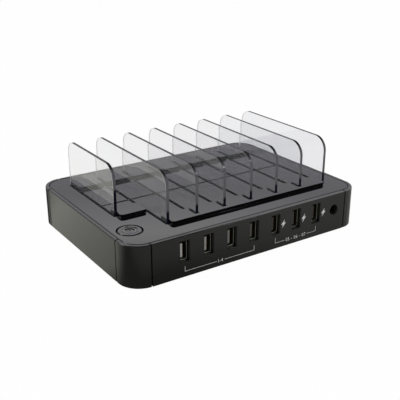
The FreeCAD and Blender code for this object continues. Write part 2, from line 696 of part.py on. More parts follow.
def make_power_button():
    """A turned cap with a dished top, a flange that keeps it in and a stem to the switch."""
    body = new_body("power_button", BUTTON_X, BUTTON_Y, f"{CASE_TOP} + dim.button_proud")
    cap_depth = "(dim.button_proud + dim.cover_wall + dim.button_collar_drop)"
    flange_depth = f"({cap_depth} + dim.button_flange_thickness)"
    stem_depth = f"({CASE_TOP} + dim.button_proud - {PLUNGER_TOP})"
    cap_radius = "dim.button_diameter / 2"
    flange_radius = "dim.button_diameter / 2 + dim.button_flange"
    stem_radius = "dim.button_stem_diameter / 2"
    dish_radius = "dim.button_dish_diameter / 2"
    corners = [(dish_radius, "0"), (f"{cap_radius} - dim.button_edge", "0"),
               (cap_radius, "-dim.button_edge"), (cap_radius, f"-{cap_depth}"),
               (flange_radius, f"-{cap_depth}"), (flange_radius, f"-{flange_depth}"),
               (stem_radius, f"-{flange_depth}"), (stem_radius, f"-{stem_depth}"),
               ("0", f"-{stem_depth}"), ("0", "-dim.button_dish_depth")]
    profile = new_sketch(body, "XZ_Plane", "button_profile")
    lines = [add_line(profile, a, b) for a, b in zip(corners, corners[1:])]
    for line, following in zip(lines, lines[1:]):
        profile.addConstraint(Sketcher.Constraint("Coincident", line, 2, following, 1))
    for line, (x, y) in zip(lines, corners):
        pin_point(profile, line, 1, x, y)
    pin_point(profile, lines[-1], 2, *corners[-1])

    radius = number(dish_radius)
    depth = number("dim.button_dish_depth")
    ball_radius = (radius ** 2 + depth ** 2) / (2 * depth)
    middle = FreeCAD.Vector(0, ball_radius - depth, 0)
    low = FreeCAD.Vector(0, -depth, 0)
    high = FreeCAD.Vector(radius, 0, 0)
    ball = Part.Circle(middle, FreeCAD.Vector(0, 0, 1), ball_radius)
    dish = profile.addGeometry(Part.ArcOfCircle(ball, ball.parameter(low), ball.parameter(high)), False)
    profile.addConstraint(Sketcher.Constraint("Coincident", dish, 1, lines[-1], 2))
    profile.addConstraint(Sketcher.Constraint("Coincident", dish, 2, lines[0], 1))
    profile.addConstraint(Sketcher.Constraint("PointOnObject", dish, 3, -2))

    turned = body.newObject("PartDesign::Revolution", "button_turned")
    turned.Profile = profile
    turned.ReferenceAxis = (profile, ["V_Axis"])
    turned.Angle = FULL_TURN


def make_switch():
    """A square push switch on the board, with a round plunger below the button's stem."""
    body = new_body("switch_body", BUTTON_X, BUTTON_Y, BOARD_TOP)
    outline = new_sketch(body, "XY_Plane", "switch_outline")
    draw_centred_rectangle(outline, "0", "0", "dim.switch_side", "dim.switch_side")
    pad(body, outline, "switch_block", "dim.switch_height")
    bore = new_sketch(body, "XY_Plane", "switch_bore_outline", "dim.switch_height")
    draw_circle(bore, "0", "0", "dim.plunger_diameter + 2 * dim.plunger_clearance")
    pocket(body, bore, "switch_bore", "dim.switch_height - dim.switch_wall")

    sink = "(dim.switch_height - 2 * dim.switch_wall - dim.button_travel)"
    plunger = new_body("switch_plunger", BUTTON_X, BUTTON_Y, f"{PLUNGER_TOP}")
    round_outline = new_sketch(plunger, "XY_Plane", "plunger_outline")
    draw_circle(round_outline, "0", "0", "dim.plunger_diameter")
    pad(plunger, round_outline, "plunger_rod", f"dim.plunger_rise + {sink}", reverse=True)
    dress(plunger, "Chamfer", "plunger_edge", "dim.plunger_edge", lambda middle: near(middle.z, "0"))


# Sockets and inlet

def draw_shell_section(sketch, inset):
    """The tube's section with bent corners, moved inwards by an inset."""
    half_width = f"(dim.shell_width / 2 - {inset})"
    half_height = f"(dim.shell_height / 2 - {inset})"
    draw_rounded_rectangle(sketch, f"(-{half_width})", f"(-{half_height})", half_width, half_height,
                           f"(dim.shell_corner - {inset})")


def make_usb_shell(label, x):
    """A folded metal tube, open at the mouth and at the back."""
    body = new_body(label, x, f"{FRONT} + dim.shell_recess", PORT_Z)
    outline = new_sketch(body, "XZ_Plane", f"{label}_outline")
    draw_shell_section(outline, "0")
    draw_shell_section(outline, "dim.shell_wall")
    pad(body, outline, f"{label}_tube", "dim.shell_depth", reverse=True)


def make_usb_tongue(label, x):
    """The insulator: a block that closes the tube's back, and the tongue that it carries."""
    body = new_body(label, x, f"{FRONT} + dim.shell_recess", PORT_Z)
    block = new_sketch(body, "XZ_Plane", f"{label}_block_outline", "-dim.shell_depth")
    draw_shell_section(block, "dim.shell_wall")
    pad(body, block, f"{label}_block", "dim.tongue_block_depth")
    blade = new_sketch(body, "XZ_Plane", f"{label}_blade_outline", "-dim.tongue_recess")
    draw_centred_rectangle(blade, "-dim.tongue_offset", "0", "dim.tongue_thickness", "dim.tongue_height")
    pad(body, blade, f"{label}_blade", "dim.shell_depth - dim.tongue_block_depth - dim.tongue_recess",
        reverse=True)
    face = "(dim.tongue_thickness / 2 - dim.tongue_offset)"
    dress(body, "Chamfer", f"{label}_lead_in", "dim.tongue_chamfer",
          lambda middle: near(middle.y, "dim.tongue_recess") and near(middle.x, face))


def make_usb_contacts(label, x):
    """Gilt strips along the wide-gap side of the tongue."""
    body = new_body(label, x, f"{FRONT} + dim.shell_recess", PORT_Z)
    ends = new_sketch(body, "XZ_Plane", f"{label}_outlines", "-(dim.tongue_recess + dim.contact_recess)")
    face = "(dim.tongue_thickness / 2 - dim.tongue_offset + dim.contact_thickness / 2)"
    for index in range(count("contact_count")):
        z = f"((2 * {index} - dim.contact_count + 1) / 2 * dim.contact_pitch)"
        draw_centred_rectangle(ends, face, z, "dim.contact_thickness", "dim.contact_width")
    length = "dim.shell_depth - dim.tongue_block_depth - dim.tongue_recess - dim.contact_recess"
    pad(body, ends, f"{label}_strips", length, reverse=True)


def make_usb_sockets():
    for index in range(count("port_count")):
        make_usb_shell(f"usb_shell_{index + 1}", port_x(index))
        make_usb_tongue(f"usb_tongue_{index + 1}", port_x(index))
        make_usb_contacts(f"usb_contacts_{index + 1}", port_x(index))


def make_dc_jack():
    """The inlet's moulded block with a round bore, and the pin in the middle of the bore."""
    mouth = f"{FRONT} + dim.side_wall + dim.jack_gap"
    body = new_body("dc_jack", JACK_X, mouth, JACK_Z)
    outline = new_sketch(body, "XZ_Plane", "jack_outline")
    low = f"({BOARD_TOP} - {JACK_Z})"
    draw_rectangle(outline, "-dim.jack_width / 2", low, "dim.jack_width / 2", f"{low} + dim.jack_body_height")
    pad(body, outline, "jack_block", "dim.jack_depth", reverse=True)
    top = f"{low} + dim.jack_body_height"
    dress(body, "Fillet", "jack_shoulders", "dim.jack_shoulder",
          lambda middle: near(middle.z, top) and near(abs(middle.x), "dim.jack_width / 2"))
    bore = new_sketch(body, "XZ_Plane", "jack_bore_outline")
    draw_circle(bore, "0", "0", "dim.jack_bore_diameter")
    pocket(body, bore, "jack_bore", "dim.jack_bore_depth")

    pin = new_body("dc_jack_pin", JACK_X, mouth, JACK_Z)
    round_outline = new_sketch(pin, "XZ_Plane", "jack_pin_outline", "-dim.jack_bore_depth")
    draw_circle(round_outline, "0", "0", "dim.jack_pin_diameter")
    pad(pin, round_outline, "jack_pin_rod", "dim.jack_pin_length")
    tip = "dim.jack_bore_depth - dim.jack_pin_length"
    dress(pin, "Chamfer", "jack_pin_tip", "dim.jack_pin_edge", lambda middle: near(middle.y, tip))


# Circuit board

def make_circuit_board():
    """The board along the front, with a wing under the power button."""
    body = new_body("circuit_board", z=BOARD_UNDER)
    outline = new_sketch(body, "XY_Plane", "board_outline")
    side = BOARD_SIDE
    rear = f"{BOARD_FRONT} + dim.board_depth"
    wing = "(dim.switch_side / 2 + dim.board_wing_margin)"
    wing_end = f"{BUTTON_X} - {wing}"
    wing_front, wing_rear = f"{BUTTON_Y} - {wing}", f"{BUTTON_Y} + {wing}"
    draw_polygon(outline, [(f"-{side}", BOARD_FRONT), (side, BOARD_FRONT), (side, rear), (f"-{side}", rear),
                           (f"-{side}", wing_rear), (wing_end, wing_rear),
                           (wing_end, wing_front), (f"-{side}", wing_front)])
    pad(body, outline, "board_plate", "dim.board_thickness")
    holes = new_sketch(body, "XY_Plane", "board_hole_outlines", "dim.board_thickness")
    draw_circles(holes, standoff_places(), "dim.board_screw_diameter + dim.screw_clearance")
    pocket(body, holes, "board_holes", "dim.board_thickness")


def make_board_parts():
    """The voltage converter: one chip behind each socket, a row of inductors, a row of capacitors."""
    chips = new_body("charge_chips", z=BOARD_TOP)
    chip_outlines = new_sketch(chips, "XY_Plane", "chip_outlines")
    for index in range(count("port_count")):
        draw_centred_rectangle(chip_outlines, port_x(index), f"({BOARD_FRONT} + dim.chip_row)",
                               "dim.chip_length", "dim.chip_width")
    pad(chips, chip_outlines, "chip_blocks", "dim.chip_height")

    inductors = new_body("inductors", z=BOARD_TOP)
    inductor_outlines = new_sketch(inductors, "XY_Plane", "inductor_outlines")
    total = centred_row(count("inductor_count"))
    for index in range(total):
        draw_centred_rectangle(inductor_outlines, row_x(index, total), f"({BOARD_FRONT} + dim.inductor_row)",
                               "dim.inductor_side", "dim.inductor_side")
    pad(inductors, inductor_outlines, "inductor_blocks", "dim.inductor_height")
    dress(inductors, "Chamfer", "inductor_corners", "dim.inductor_chamfer",
          lambda middle: near(middle.z, "dim.inductor_height / 2"))

    capacitors = new_body("capacitors", z=BOARD_TOP)
    capacitor_outlines = new_sketch(capacitors, "XY_Plane", "capacitor_outlines")
    total = centred_row(count("capacitor_count"))
    draw_circles(capacitor_outlines,
                 [(row_x(index, total), f"({BOARD_FRONT} + dim.capacitor_row)") for index in range(total)],
                 "dim.capacitor_diameter")
    pad(capacitors, capacitor_outlines, "capacitor_cans", "dim.capacitor_height")
    dress(capacitors, "Chamfer", "capacitor_edges", "dim.capacitor_edge",
          lambda middle: near(middle.z, "dim.capacitor_height"))


def check_document():
    """Stop if any object failed or any sub-part has no valid solid."""
    doc.recompute()
    for item in doc.Objects:
        if "Invalid" in item.State or "Error" in item.State:
            raise RuntimeError(f"{item.Label}: {item.State}")
    for body in sub_parts:
        if body.Shape.isNull() or not body.Shape.isValid() or not body.Shape.Solids:
            raise RuntimeError(f"{body.Label}: no valid solid")


def write_parts():
    os.makedirs("parts", exist_ok=True)
    for body in sub_parts:
        body.Shape.exportStep(f"parts/{body.Label}.step")
        box = body.Shape.BoundBox
        print(f"{body.Label}: {len(body.Shape.Solids)} solids, {body.Shape.Volume:.1f} mm3, "
              f"z {box.ZMin:.2f} to {box.ZMax:.2f}")


sub_parts = []
make_base_tray()
make_panels()
make_feet()
make_fasteners()
make_top_cover()
make_dividers()
make_power_button()
make_switch()
make_usb_sockets()
make_dc_jack()
make_circuit_board()
make_board_parts()
check_document()
write_parts()
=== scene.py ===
# %% [markdown]
# # A desk charging station, dressed for its portrait
#
# The object is a low black box with seven upright sockets along its front and a row of
# clear plates on top, which keep phones and tablets apart while they charge. Its shape
# is already fixed: the construction arrives as a frame of named solids. This lesson
# gives every solid its finish, and models again the pieces whose edges, bends and
# printing make the object look real. All lengths are in metres.

# %% Load the frame
import json
import math

import bmesh
import bpy
from mathutils import Matrix, Vector

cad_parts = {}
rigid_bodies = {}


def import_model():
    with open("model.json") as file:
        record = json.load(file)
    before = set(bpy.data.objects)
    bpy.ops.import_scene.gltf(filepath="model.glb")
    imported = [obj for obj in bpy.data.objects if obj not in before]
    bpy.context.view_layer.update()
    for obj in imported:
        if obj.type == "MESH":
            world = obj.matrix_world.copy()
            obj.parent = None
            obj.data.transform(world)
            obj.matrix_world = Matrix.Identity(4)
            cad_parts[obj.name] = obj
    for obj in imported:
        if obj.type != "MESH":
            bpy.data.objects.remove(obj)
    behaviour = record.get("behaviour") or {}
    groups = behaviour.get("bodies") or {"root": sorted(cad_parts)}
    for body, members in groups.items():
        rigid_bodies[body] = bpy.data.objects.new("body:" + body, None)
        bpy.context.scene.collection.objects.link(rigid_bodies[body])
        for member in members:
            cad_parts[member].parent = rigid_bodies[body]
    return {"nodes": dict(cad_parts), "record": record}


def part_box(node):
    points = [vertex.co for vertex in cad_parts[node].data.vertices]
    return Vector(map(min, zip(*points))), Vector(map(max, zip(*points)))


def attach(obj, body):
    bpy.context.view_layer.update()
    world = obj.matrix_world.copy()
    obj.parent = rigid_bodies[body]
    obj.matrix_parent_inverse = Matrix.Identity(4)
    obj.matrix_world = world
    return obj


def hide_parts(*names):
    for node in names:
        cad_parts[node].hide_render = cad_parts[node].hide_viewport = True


for leftover in list(bpy.data.objects):
    bpy.data.objects.remove(leftover)
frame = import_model()
nodes = frame["nodes"]
scene = bpy.context.scene
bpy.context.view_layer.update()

# %% [markdown]
# ## The camera
#
# The camera comes first, because everything else is judged through it. It stands to the
# left of the front and looks down a little. A longer lens keeps the box's edges nearly
# parallel, as a product photographer would, and the angles say more to a reader than
# three coordinates, so the place is worked out from them.

# %% Camera
CAMERA_AZIMUTH = math.radians(-33.74)
CAMERA_ELEVATION = math.radians(21.97)
CAMERA_DISTANCE = 0.52016
CAMERA_TARGET = Vector((0.00127, 0.0, 0.01672))
LENS_MM = 63.51
SENSOR_MM = 36.0

backwards = Vector((math.cos(CAMERA_ELEVATION) * math.sin(CAMERA_AZIMUTH),
                    -math.cos(CAMERA_ELEVATION) * math.cos(CAMERA_AZIMUTH),
                    math.sin(CAMERA_ELEVATION)))
camera = bpy.data.objects.new("camera", bpy.data.cameras.new("camera"))
scene.collection.objects.link(camera)
scene.camera = camera
camera.data.lens = LENS_MM
camera.data.sensor_width = SENSOR_MM
camera.location = CAMERA_TARGET + CAMERA_DISTANCE * backwards
camera.rotation_mode = "QUATERNION"
camera.rotation_quaternion = (-backwards).to_track_quat("-Z", "Y")
print("camera at", [round(value, 4) for value in camera.location])

# %% [markdown]
# ## Helpers for shader nodes
#
# Materials are small networks, and a few helpers keep them readable. One adds a node and
# one feeds an input from a socket or a plain value. The others do a step of arithmetic
# and blend two colours. A Mix node has sockets of the same names for numbers, vectors
# and colours, so the ones for colours are picked by their number.

# %% Node helpers
MIX_FACTOR, MIX_FIRST, MIX_SECOND, MIX_RESULT = 0, 6, 7, 2

def add(tree, kind, values=None, **settings):
    """Add a node, set its properties and then the sockets named in values."""
    node = tree.nodes.new(kind)
    for name, value in settings.items():
        setattr(node, name, value)
    for label, value in (values or {}).items():
        node.inputs[label].default_value = value
    return node


def feed(tree, value, socket):
    """Link a socket to an input, or set the input to a number or an opaque colour."""
    if isinstance(value, bpy.types.NodeSocket):
        tree.links.new(value, socket)
    elif isinstance(value, tuple):
        socket.default_value = (*value, 1.0)
    else:
        socket.default_value = value


def maths(tree, operation, first, second):
    """One step of arithmetic on two sockets or numbers."""
    node = add(tree, "ShaderNodeMath", operation=operation)
    feed(tree, first, node.inputs[0])
    feed(tree, second, node.inputs[1])
    return node.outputs[0]


def blend_colours(tree, factor, first, second):
    """A colour between two, by a mask. Each colour is a value or a socket."""
    node = add(tree, "ShaderNodeMix", data_type="RGBA")
    feed(tree, factor, node.inputs[MIX_FACTOR])
    feed(tree, first, node.inputs[MIX_FIRST])
    feed(tree, second, node.inputs[MIX_SECOND])
    return node.outputs[MIX_RESULT]


print("helpers:", [helper.__name__ for helper in (add, feed, maths, blend_colours)])

# %% [markdown]
# ## Masks, tones and places
#
# Most effects here start from a number that changes over the surface, such as a height.
# It is spread between two values, turned into a mask with a soft edge, or run through a
# row of tones. A colour ramp only knows places from 0 to 1, so the number is spread to
# that stretch first.

# %% Mask helpers
RAMP_MIDDLE = 0.5

def spread(tree, value, low, high, start=0.0, end=1.0):
    """The value's stretch from start to end, spread from low to high and held beyond."""
    node = add(tree, "ShaderNodeMapRange",
               {"From Min": start, "From Max": end, "To Min": low, "To Max": high})
    tree.links.new(value, node.inputs["Value"])
    return node.outputs["Result"]


def rising(tree, value, edge):
    """A mask that goes from 0 to 1 between the two ends of a soft edge."""
    return spread(tree, value, 0.0, 1.0, *edge)


def falling(tree, value, edge):
    """A mask that goes from 1 to 0 between the two ends of a soft edge."""
    return spread(tree, value, 1.0, 0.0, *edge)


def tones(tree, value, stops):
    """A colour that runs through the tones listed with the values where they lie."""
    low, high = stops[0][0], stops[-1][0]
    node = add(tree, "ShaderNodeValToRGB")
    elements = node.color_ramp.elements
    while len(elements) < len(stops):
        elements.new(RAMP_MIDDLE)
    for element, (place, colour) in zip(elements, stops):
        element.position = (place - low) / (high - low)
        element.color = (*colour, 1.0)
    tree.links.new(rising(tree, value, (low, high)), node.inputs[0])
    return node.outputs[0]


def coordinates(tree, output="Object"):
    """One of the texture coordinates, as a vector."""
    return add(tree, "ShaderNodeTexCoord").outputs[output]


def place_of(tree, output):
    """The same coordinates along each axis: a place, a direction or a facing."""
    place = add(tree, "ShaderNodeSeparateXYZ")
    tree.links.new(coordinates(tree, output), place.inputs[0])
    return place.outputs


print("masks:", [helper.__name__ for helper in (spread, rising, falling, tones)])

# %% [markdown]
# ## What rays see of the studio
#
# A black glossy box shows mostly what stands around it, so the studio is part of its
# finish. To the camera and through the plates the floor and the world are white, and to
# everything else they are a plain soft light. Only mirrors see tones of their own. A ray
# that a plate bends also counts as glossy, so it is taken out of the mirrors' mask.

# %% Ray masks
WHITE = (1.0, 1.0, 1.0)

def rays(tree):
    """A mask of the rays that come from a mirror, and one of all rays that show the studio."""
    path = add(tree, "ShaderNodeLightPath")
    glossy, through = path.outputs["Is Glossy Ray"], path.outputs["Is Transmission Ray"]
    direct = maths(tree, "MAXIMUM", path.outputs["Is Camera Ray"], through)
    return maths(tree, "SUBTRACT", glossy, through), maths(tree, "MAXIMUM", direct, glossy)


print("the studio looks", WHITE, "to the camera")

# %% [markdown]
# ## What mirrors see of the floor
#
# In mirrors the floor carries painted shade: it is dim close to the front, where the box's
# shadow would fall, and pale towards the rear: that is why the box's left side looks grey
# and its front nearly black. A dark patch painted on the floor behind the rear left
# corner, seen only in mirrors like a card, draws the thin black line that ends the left
# side. These tones could be painted on the box, but then they would stay there under any
# other light, so they are on the floor.

# %% Mirrored floor
# Painted shade along Y, from the front to the rear, on the left and on the right of the turn.
FLOOR_LEFT = [(-0.130, (0.36, 0.36, 0.34)), (-0.105, (0.32, 0.32, 0.30)),
              (-0.080, (0.12, 0.12, 0.11)), (-0.056, (0.12, 0.12, 0.11)),
              (-0.028, (0.56, 0.56, 0.50)), (0.080, (0.96, 0.96, 0.87))]
FLOOR_RIGHT = [(-0.130, (0.52, 0.52, 0.51)), (-0.105, (0.49, 0.49, 0.48)),
               (-0.085, (0.43, 0.43, 0.42)), (-0.066, (0.38, 0.38, 0.36)),
               (-0.050, (0.38, 0.38, 0.34)), (0.080, (0.60, 0.60, 0.56))]
# Each pair gives where a soft edge starts and ends.
FLOOR_TURN = (-0.06, 0.05)
CARD_LEFT = (-0.0760, -0.0740)
CARD_RIGHT = (-0.060, -0.030)
CARD_FRONT = (0.050, 0.054)
CARD_REAR = (0.130, 0.150)
CARD_SLANT = 0.377
# The dark patch painted on the floor, which only mirrors see.
CARD = (0.02, 0.02, 0.02)

def card_mask(tree, place):
    """A slanted patch of the floor behind the box's rear left corner, where the dark patch is
    painted.
    """
    slanted = maths(tree, "ADD", place["X"], maths(tree, "MULTIPLY", place["Y"], CARD_SLANT))
    across = maths(tree, "MULTIPLY", rising(tree, slanted, CARD_LEFT),
                   falling(tree, place["X"], CARD_RIGHT))
    along = maths(tree, "MULTIPLY", rising(tree, place["Y"], CARD_FRONT),
                  falling(tree, place["Y"], CARD_REAR))
    return maths(tree, "MULTIPLY", across, along)


def mirrored_floor(tree):
    """The colour that mirrors see at each place of the floor, with its painted shade and dark
    patch.
    """
    place = place_of(tree, "Object")
    left, right = (tones(tree, place["Y"], stops) for stops in (FLOOR_LEFT, FLOOR_RIGHT))
    sides = blend_colours(tree, rising(tree, place["X"], FLOOR_TURN), left, right)
    return blend_colours(tree, card_mask(tree, place), sides, CARD)


print("floor tones:", len(FLOOR_LEFT), "on the left and", len(FLOOR_RIGHT), "on the right")

# %% [markdown]
# ## The floor
#
# The floor is one large square in pale grey paint, with white laid over it wherever the
# studio shows. A small share of the paint still shows through the white and keeps a faint
# shadow under the object, which a plain white glow would lose.

# %% Floor
FLOOR_SIZE = 8.0
FLOOR_GREY = (0.80, 0.80, 0.79)
FLOOR_WHITE_SHARE = 0.98

def floor_paint():
    """White to the camera, tones to mirrors and grey paint to everything else."""
    material = bpy.data.materials.new("floor")
    material.use_nodes = True
    tree = material.node_tree
    tree.nodes.clear()
    from_mirror, seen = rays(tree)
    shown = blend_colours(tree, from_mirror, WHITE, mirrored_floor(tree))
    glow = add(tree, "ShaderNodeEmission")
    tree.links.new(shown, glow.inputs["Color"])
    paint = add(tree, "ShaderNodeBsdfDiffuse", {"Color": (*FLOOR_GREY, 1.0)})
    both = add(tree, "ShaderNodeMixShader")
    tree.links.new(maths(tree, "MULTIPLY", seen, FLOOR_WHITE_SHARE), both.inputs[0])
    tree.links.new(paint.outputs[0], both.inputs[1])
    tree.links.new(glow.outputs[0], both.inputs[2])
    tree.links.new(both.outputs[0], add(tree, "ShaderNodeOutputMaterial").inputs["Surface"])
    return material


sheet = bmesh.new()
bmesh.ops.create_grid(sheet, x_segments=1, y_segments=1, size=FLOOR_SIZE / 2)
floor_mesh = bpy.data.meshes.new("floor")
sheet.to_mesh(floor_mesh)
sheet.free()
floor_mesh.materials.append(floor_paint())
floor = bpy.data.objects.new("floor", floor_mesh)
scene.collection.objects.link(floor)
print("floor of", FLOOR_SIZE, "m")

# %% [markdown]
# ## The world
#
# Around the floor stands a plain world. Mirrors see it as a room: a pale sweep behind
# the box, brightest along its upper edge, and a darker ceiling and camera side. The
# glossy cover takes its grey from that sweep. The Standard view keeps each colour about
# as it is written.

# %% World
# Tones of the sweep by the height of the direction, from level 0 to straight up at 1.
SKY_SWEEP = [(0.20, (0.70, 0.69, 0.74)), (0.36, (0.70, 0.69, 0.74)),
             (0.39, (1.00, 0.99, 1.03)), (0.415, (1.30, 1.30, 1.32)),
             (0.44, (1.10, 1.10, 1.12)), (0.50, (0.14, 0.14, 0.14))]
SKY_ROOM = (0.18, 0.18, 0.18)
SKY_TURN = (-0.30, 0.35)
WORLD_LIGHT = 0.55

world = bpy.data.worlds.new("studio")
scene.world = world
world.use_nodes = True
sky_tree = world.node_tree
sky_tree.nodes.clear()
from_mirror, seen = rays(sky_tree)
direction = place_of(sky_tree, "Generated")
sweep = tones(sky_tree, direction["Z"], SKY_SWEEP)
mirrored = blend_colours(sky_tree, rising(sky_tree, direction["Y"], SKY_TURN), SKY_ROOM, sweep)
sky = add(sky_tree, "ShaderNodeBackground")
sky_tree.links.new(blend_colours(sky_tree, from_mirror, WHITE, mirrored), sky.inputs["Color"])
sky_tree.links.new(spread(sky_tree, seen, WORLD_LIGHT, 1.0), sky.inputs["Strength"])
sky_tree.links.new(sky.outputs[0], add(sky_tree, "ShaderNodeOutputWorld").inputs["Surface"])
scene.view_settings.view_transform = "Standard"
print("world made, with", len(SKY_SWEEP), "tones in its sweep")

# %% [markdown]
# ## Lamps
#
# One softbox stands high behind the left side, where it lights edges and leaves the
# front in its own shade. A small one at the front right puts a glint low on the plates'
# rounded corners. Higher up it would draw lines under the sockets, and lower down a grey
# patch on the front bar. A ray that crosses all eight plates meets sixteen faces, so the
# path lengths are raised: with the usual limits the last plates would turn black.

# %% Lamps and path lengths
LAMP_TARGET = Vector((0.0, 0.0, 0.03))
SOFTBOXES = {"rear_softbox": {"place": Vector((-0.55, 0.55, 0.95)), "side": 0.7, "power": 6.0},
             "front_softbox": {"place": Vector((0.57, -0.75, 0.57)), "side": 0.14, "power": 0.9}}
PATH_STEPS = 32

for name, box in SOFTBOXES.items():
    lamp = bpy.data.objects.new(name, bpy.data.lights.new(name, "AREA"))
    scene.collection.objects.link(lamp)
    lamp.data.energy = box["power"]
    lamp.data.size = box["side"]
    lamp.location = box["place"]
    lamp.rotation_mode = "QUATERNION"
    lamp.rotation_quaternion = (LAMP_TARGET - box["place"]).to_track_quat("-Z", "Y")
scene.cycles.max_bounces = PATH_STEPS
scene.cycles.transmission_bounces = PATH_STEPS
scene.cycles.glossy_bounces = PATH_STEPS
print(len(SOFTBOXES), "softboxes")

# %% [markdown]
# ## Mould grain
#
# Real plastic is never quite even: the mould leaves a faint grain, and the colour drifts
# in soft clouds. Several finishes share this, so it is a node group. A group gives masks
# only, and each finish uses them at its own strength.

# %% Moulded grain
def new_group(name, inputs, outputs):
    """An empty group with number sockets, and its two end nodes."""
    group = bpy.data.node_groups.new(name, "ShaderNodeTree")
    for label, value in inputs.items():
        socket = group.interface.new_socket(label, in_out="INPUT", socket_type="NodeSocketFloat")
        socket.default_value = value
    for label in outputs:
        group.interface.new_socket(label, in_out="OUTPUT", socket_type="NodeSocketFloat")
    return group, group.nodes.new("NodeGroupInput"), group.nodes.new("NodeGroupOutput")


def noise(tree, place, scale, detail=2.0, roughness=0.5, distortion=0.0):
    """Soft noise from 0 to 1. The scale is a number or a socket."""
    node = add(tree, "ShaderNodeTexNoise",
               {"Detail": detail, "Roughness": roughness, "Distortion": distortion})
    tree.links.new(place, node.inputs["Vector"])
    feed(tree, scale, node.inputs["Scale"])
    return node.outputs["Fac"]


def make_moulded_grain():
    group, entry, leave = new_group("moulded grain", {"Grain Scale": 3000.0, "Cloud Scale": 40.0},
                                    ("Height", "Cloud"))
    place = coordinates(group)
    height = noise(group, place, entry.outputs["Grain Scale"], detail=3.0)
    cloud = noise(group, place, entry.outputs["Cloud Scale"], detail=2.0)
    group.links.new(height, leave.inputs["Height"])
    group.links.new(cloud, leave.inputs["Cloud"])
    return group


GRAIN = make_moulded_grain()
print("group:", GRAIN.name)

# %% [markdown]
# ## Handling marks
#
# Hands leave smudges, and cleaning leaves hairlines. Smudges are the upper patches of a
# soft noise. Hairlines are the same idea on noise that is drawn out along one direction,
# until only thin lines pass the level.

# %% Handling marks
SMUDGE_EDGE = (0.52, 0.72)
HAIRLINE_EDGE = (0.66, 0.72)
HAIRLINE_STRETCH = (1.0, 0.04, 1.0)
HAIRLINE_TURN = (0.0, 0.0, 0.5)

def drawn_out(tree, place, stretch, turn=(0.0, 0.0, 0.0)):
    """Coordinates that draw a pattern out along one axis, turned by some angles."""
    node = add(tree, "ShaderNodeMapping", {"Scale": stretch, "Rotation": turn})
    tree.links.new(place, node.inputs["Vector"])
    return node.outputs[0]


def make_handling_marks():
    group, entry, leave = new_group("handling marks",
                                    {"Smudge Scale": 28.0, "Hairline Scale": 120.0},
                                    ("Smudges", "Hairlines"))
    place = coordinates(group)
    patches = noise(group, place, entry.outputs["Smudge Scale"],
                    detail=3.0, roughness=0.6, distortion=0.4)
    lines = noise(group, drawn_out(group, place, HAIRLINE_STRETCH, HAIRLINE_TURN),
                  entry.outputs["Hairline Scale"], detail=4.0, roughness=0.7)
    group.links.new(rising(group, patches, SMUDGE_EDGE), leave.inputs["Smudges"])
    group.links.new(rising(group, lines, HAIRLINE_EDGE), leave.inputs["Hairlines"])
    return group


MARKS = make_handling_marks()
print("group:", MARKS.name)

# %% [markdown]
# ## Roller streaks
#
# Rolled and drawn metal keeps the streaks of its tools along the strip. They are noise
# again, drawn out twenty times along the depth of the object, where the sockets' strips
# run.

# %% Roller streaks
STREAK_STRETCH = (1.0, 0.05, 1.0)

def make_roller_streaks():
    group, entry, leave = new_group("roller streaks", {"Streak Scale": 1500.0}, ("Streaks",))
    place = drawn_out(group, coordinates(group), STREAK_STRETCH)
    streaks = noise(group, place, entry.outputs["Streak Scale"], detail=2.0)
    group.links.new(streaks, leave.inputs["Streaks"])
    return group


STREAKS = make_roller_streaks()
print("groups:", [group.name for group in bpy.data.node_groups])

# %% [markdown]
# ## A recipe for plastic
#
# The housing, the cover, the button and the small mouldings are all black plastic, but
# polished to different degrees. One recipe serves them: a dark colour that drifts a
# little, a roughness that smudges raise, and a bump from the mould's grain.

# %% Plastic recipe
BUMP_DISTANCE = 0.00002

def new_material(name):
    material = bpy.data.materials.new(name)
    material.use_nodes = True
    return material, material.node_tree, material.node_tree.nodes["Principled BSDF"]


def use_group(tree, group, values=None):
    return add(tree, "ShaderNodeGroup", values, node_tree=group).outputs


def add_bump(tree, shader, height, strength):
    bump = add(tree, "ShaderNodeBump", {"Strength": strength, "Distance": BUMP_DISTANCE})
    tree.links.new(height, bump.inputs["Height"])
    tree.links.new(bump.outputs[0], shader.inputs["Normal"])


def plastic(name, dark, light, polish, smudged, grain_scale, grain_strength):
    """Moulded plastic between two tones, with a roughness between polish and smudged."""
    material, tree, shader = new_material(name)
    grain = use_group(tree, GRAIN, {"Grain Scale": grain_scale})
    marks = use_group(tree, MARKS)
    tree.links.new(blend_colours(tree, grain["Cloud"], dark, light), shader.inputs["Base Color"])
    wear_and_highlight = maths(tree, "MAXIMUM", marks["Smudges"], marks["Hairlines"])
    tree.links.new(spread(tree, wear_and_highlight, polish, smudged), shader.inputs["Roughness"])
    add_bump(tree, shader, grain["Height"], grain_strength)
    return material


print("bumps are", BUMP_DISTANCE * 1000, "mm deep at full strength")

# %% [markdown]
# ## The mouldings' finishes
#
# Only the numbers differ from one moulding to the next. The cover is piano black, almost
# a mirror, the housing is satin, and the parts inside are as dull as they left the mould.
# The rubber of the feet is the roughest.

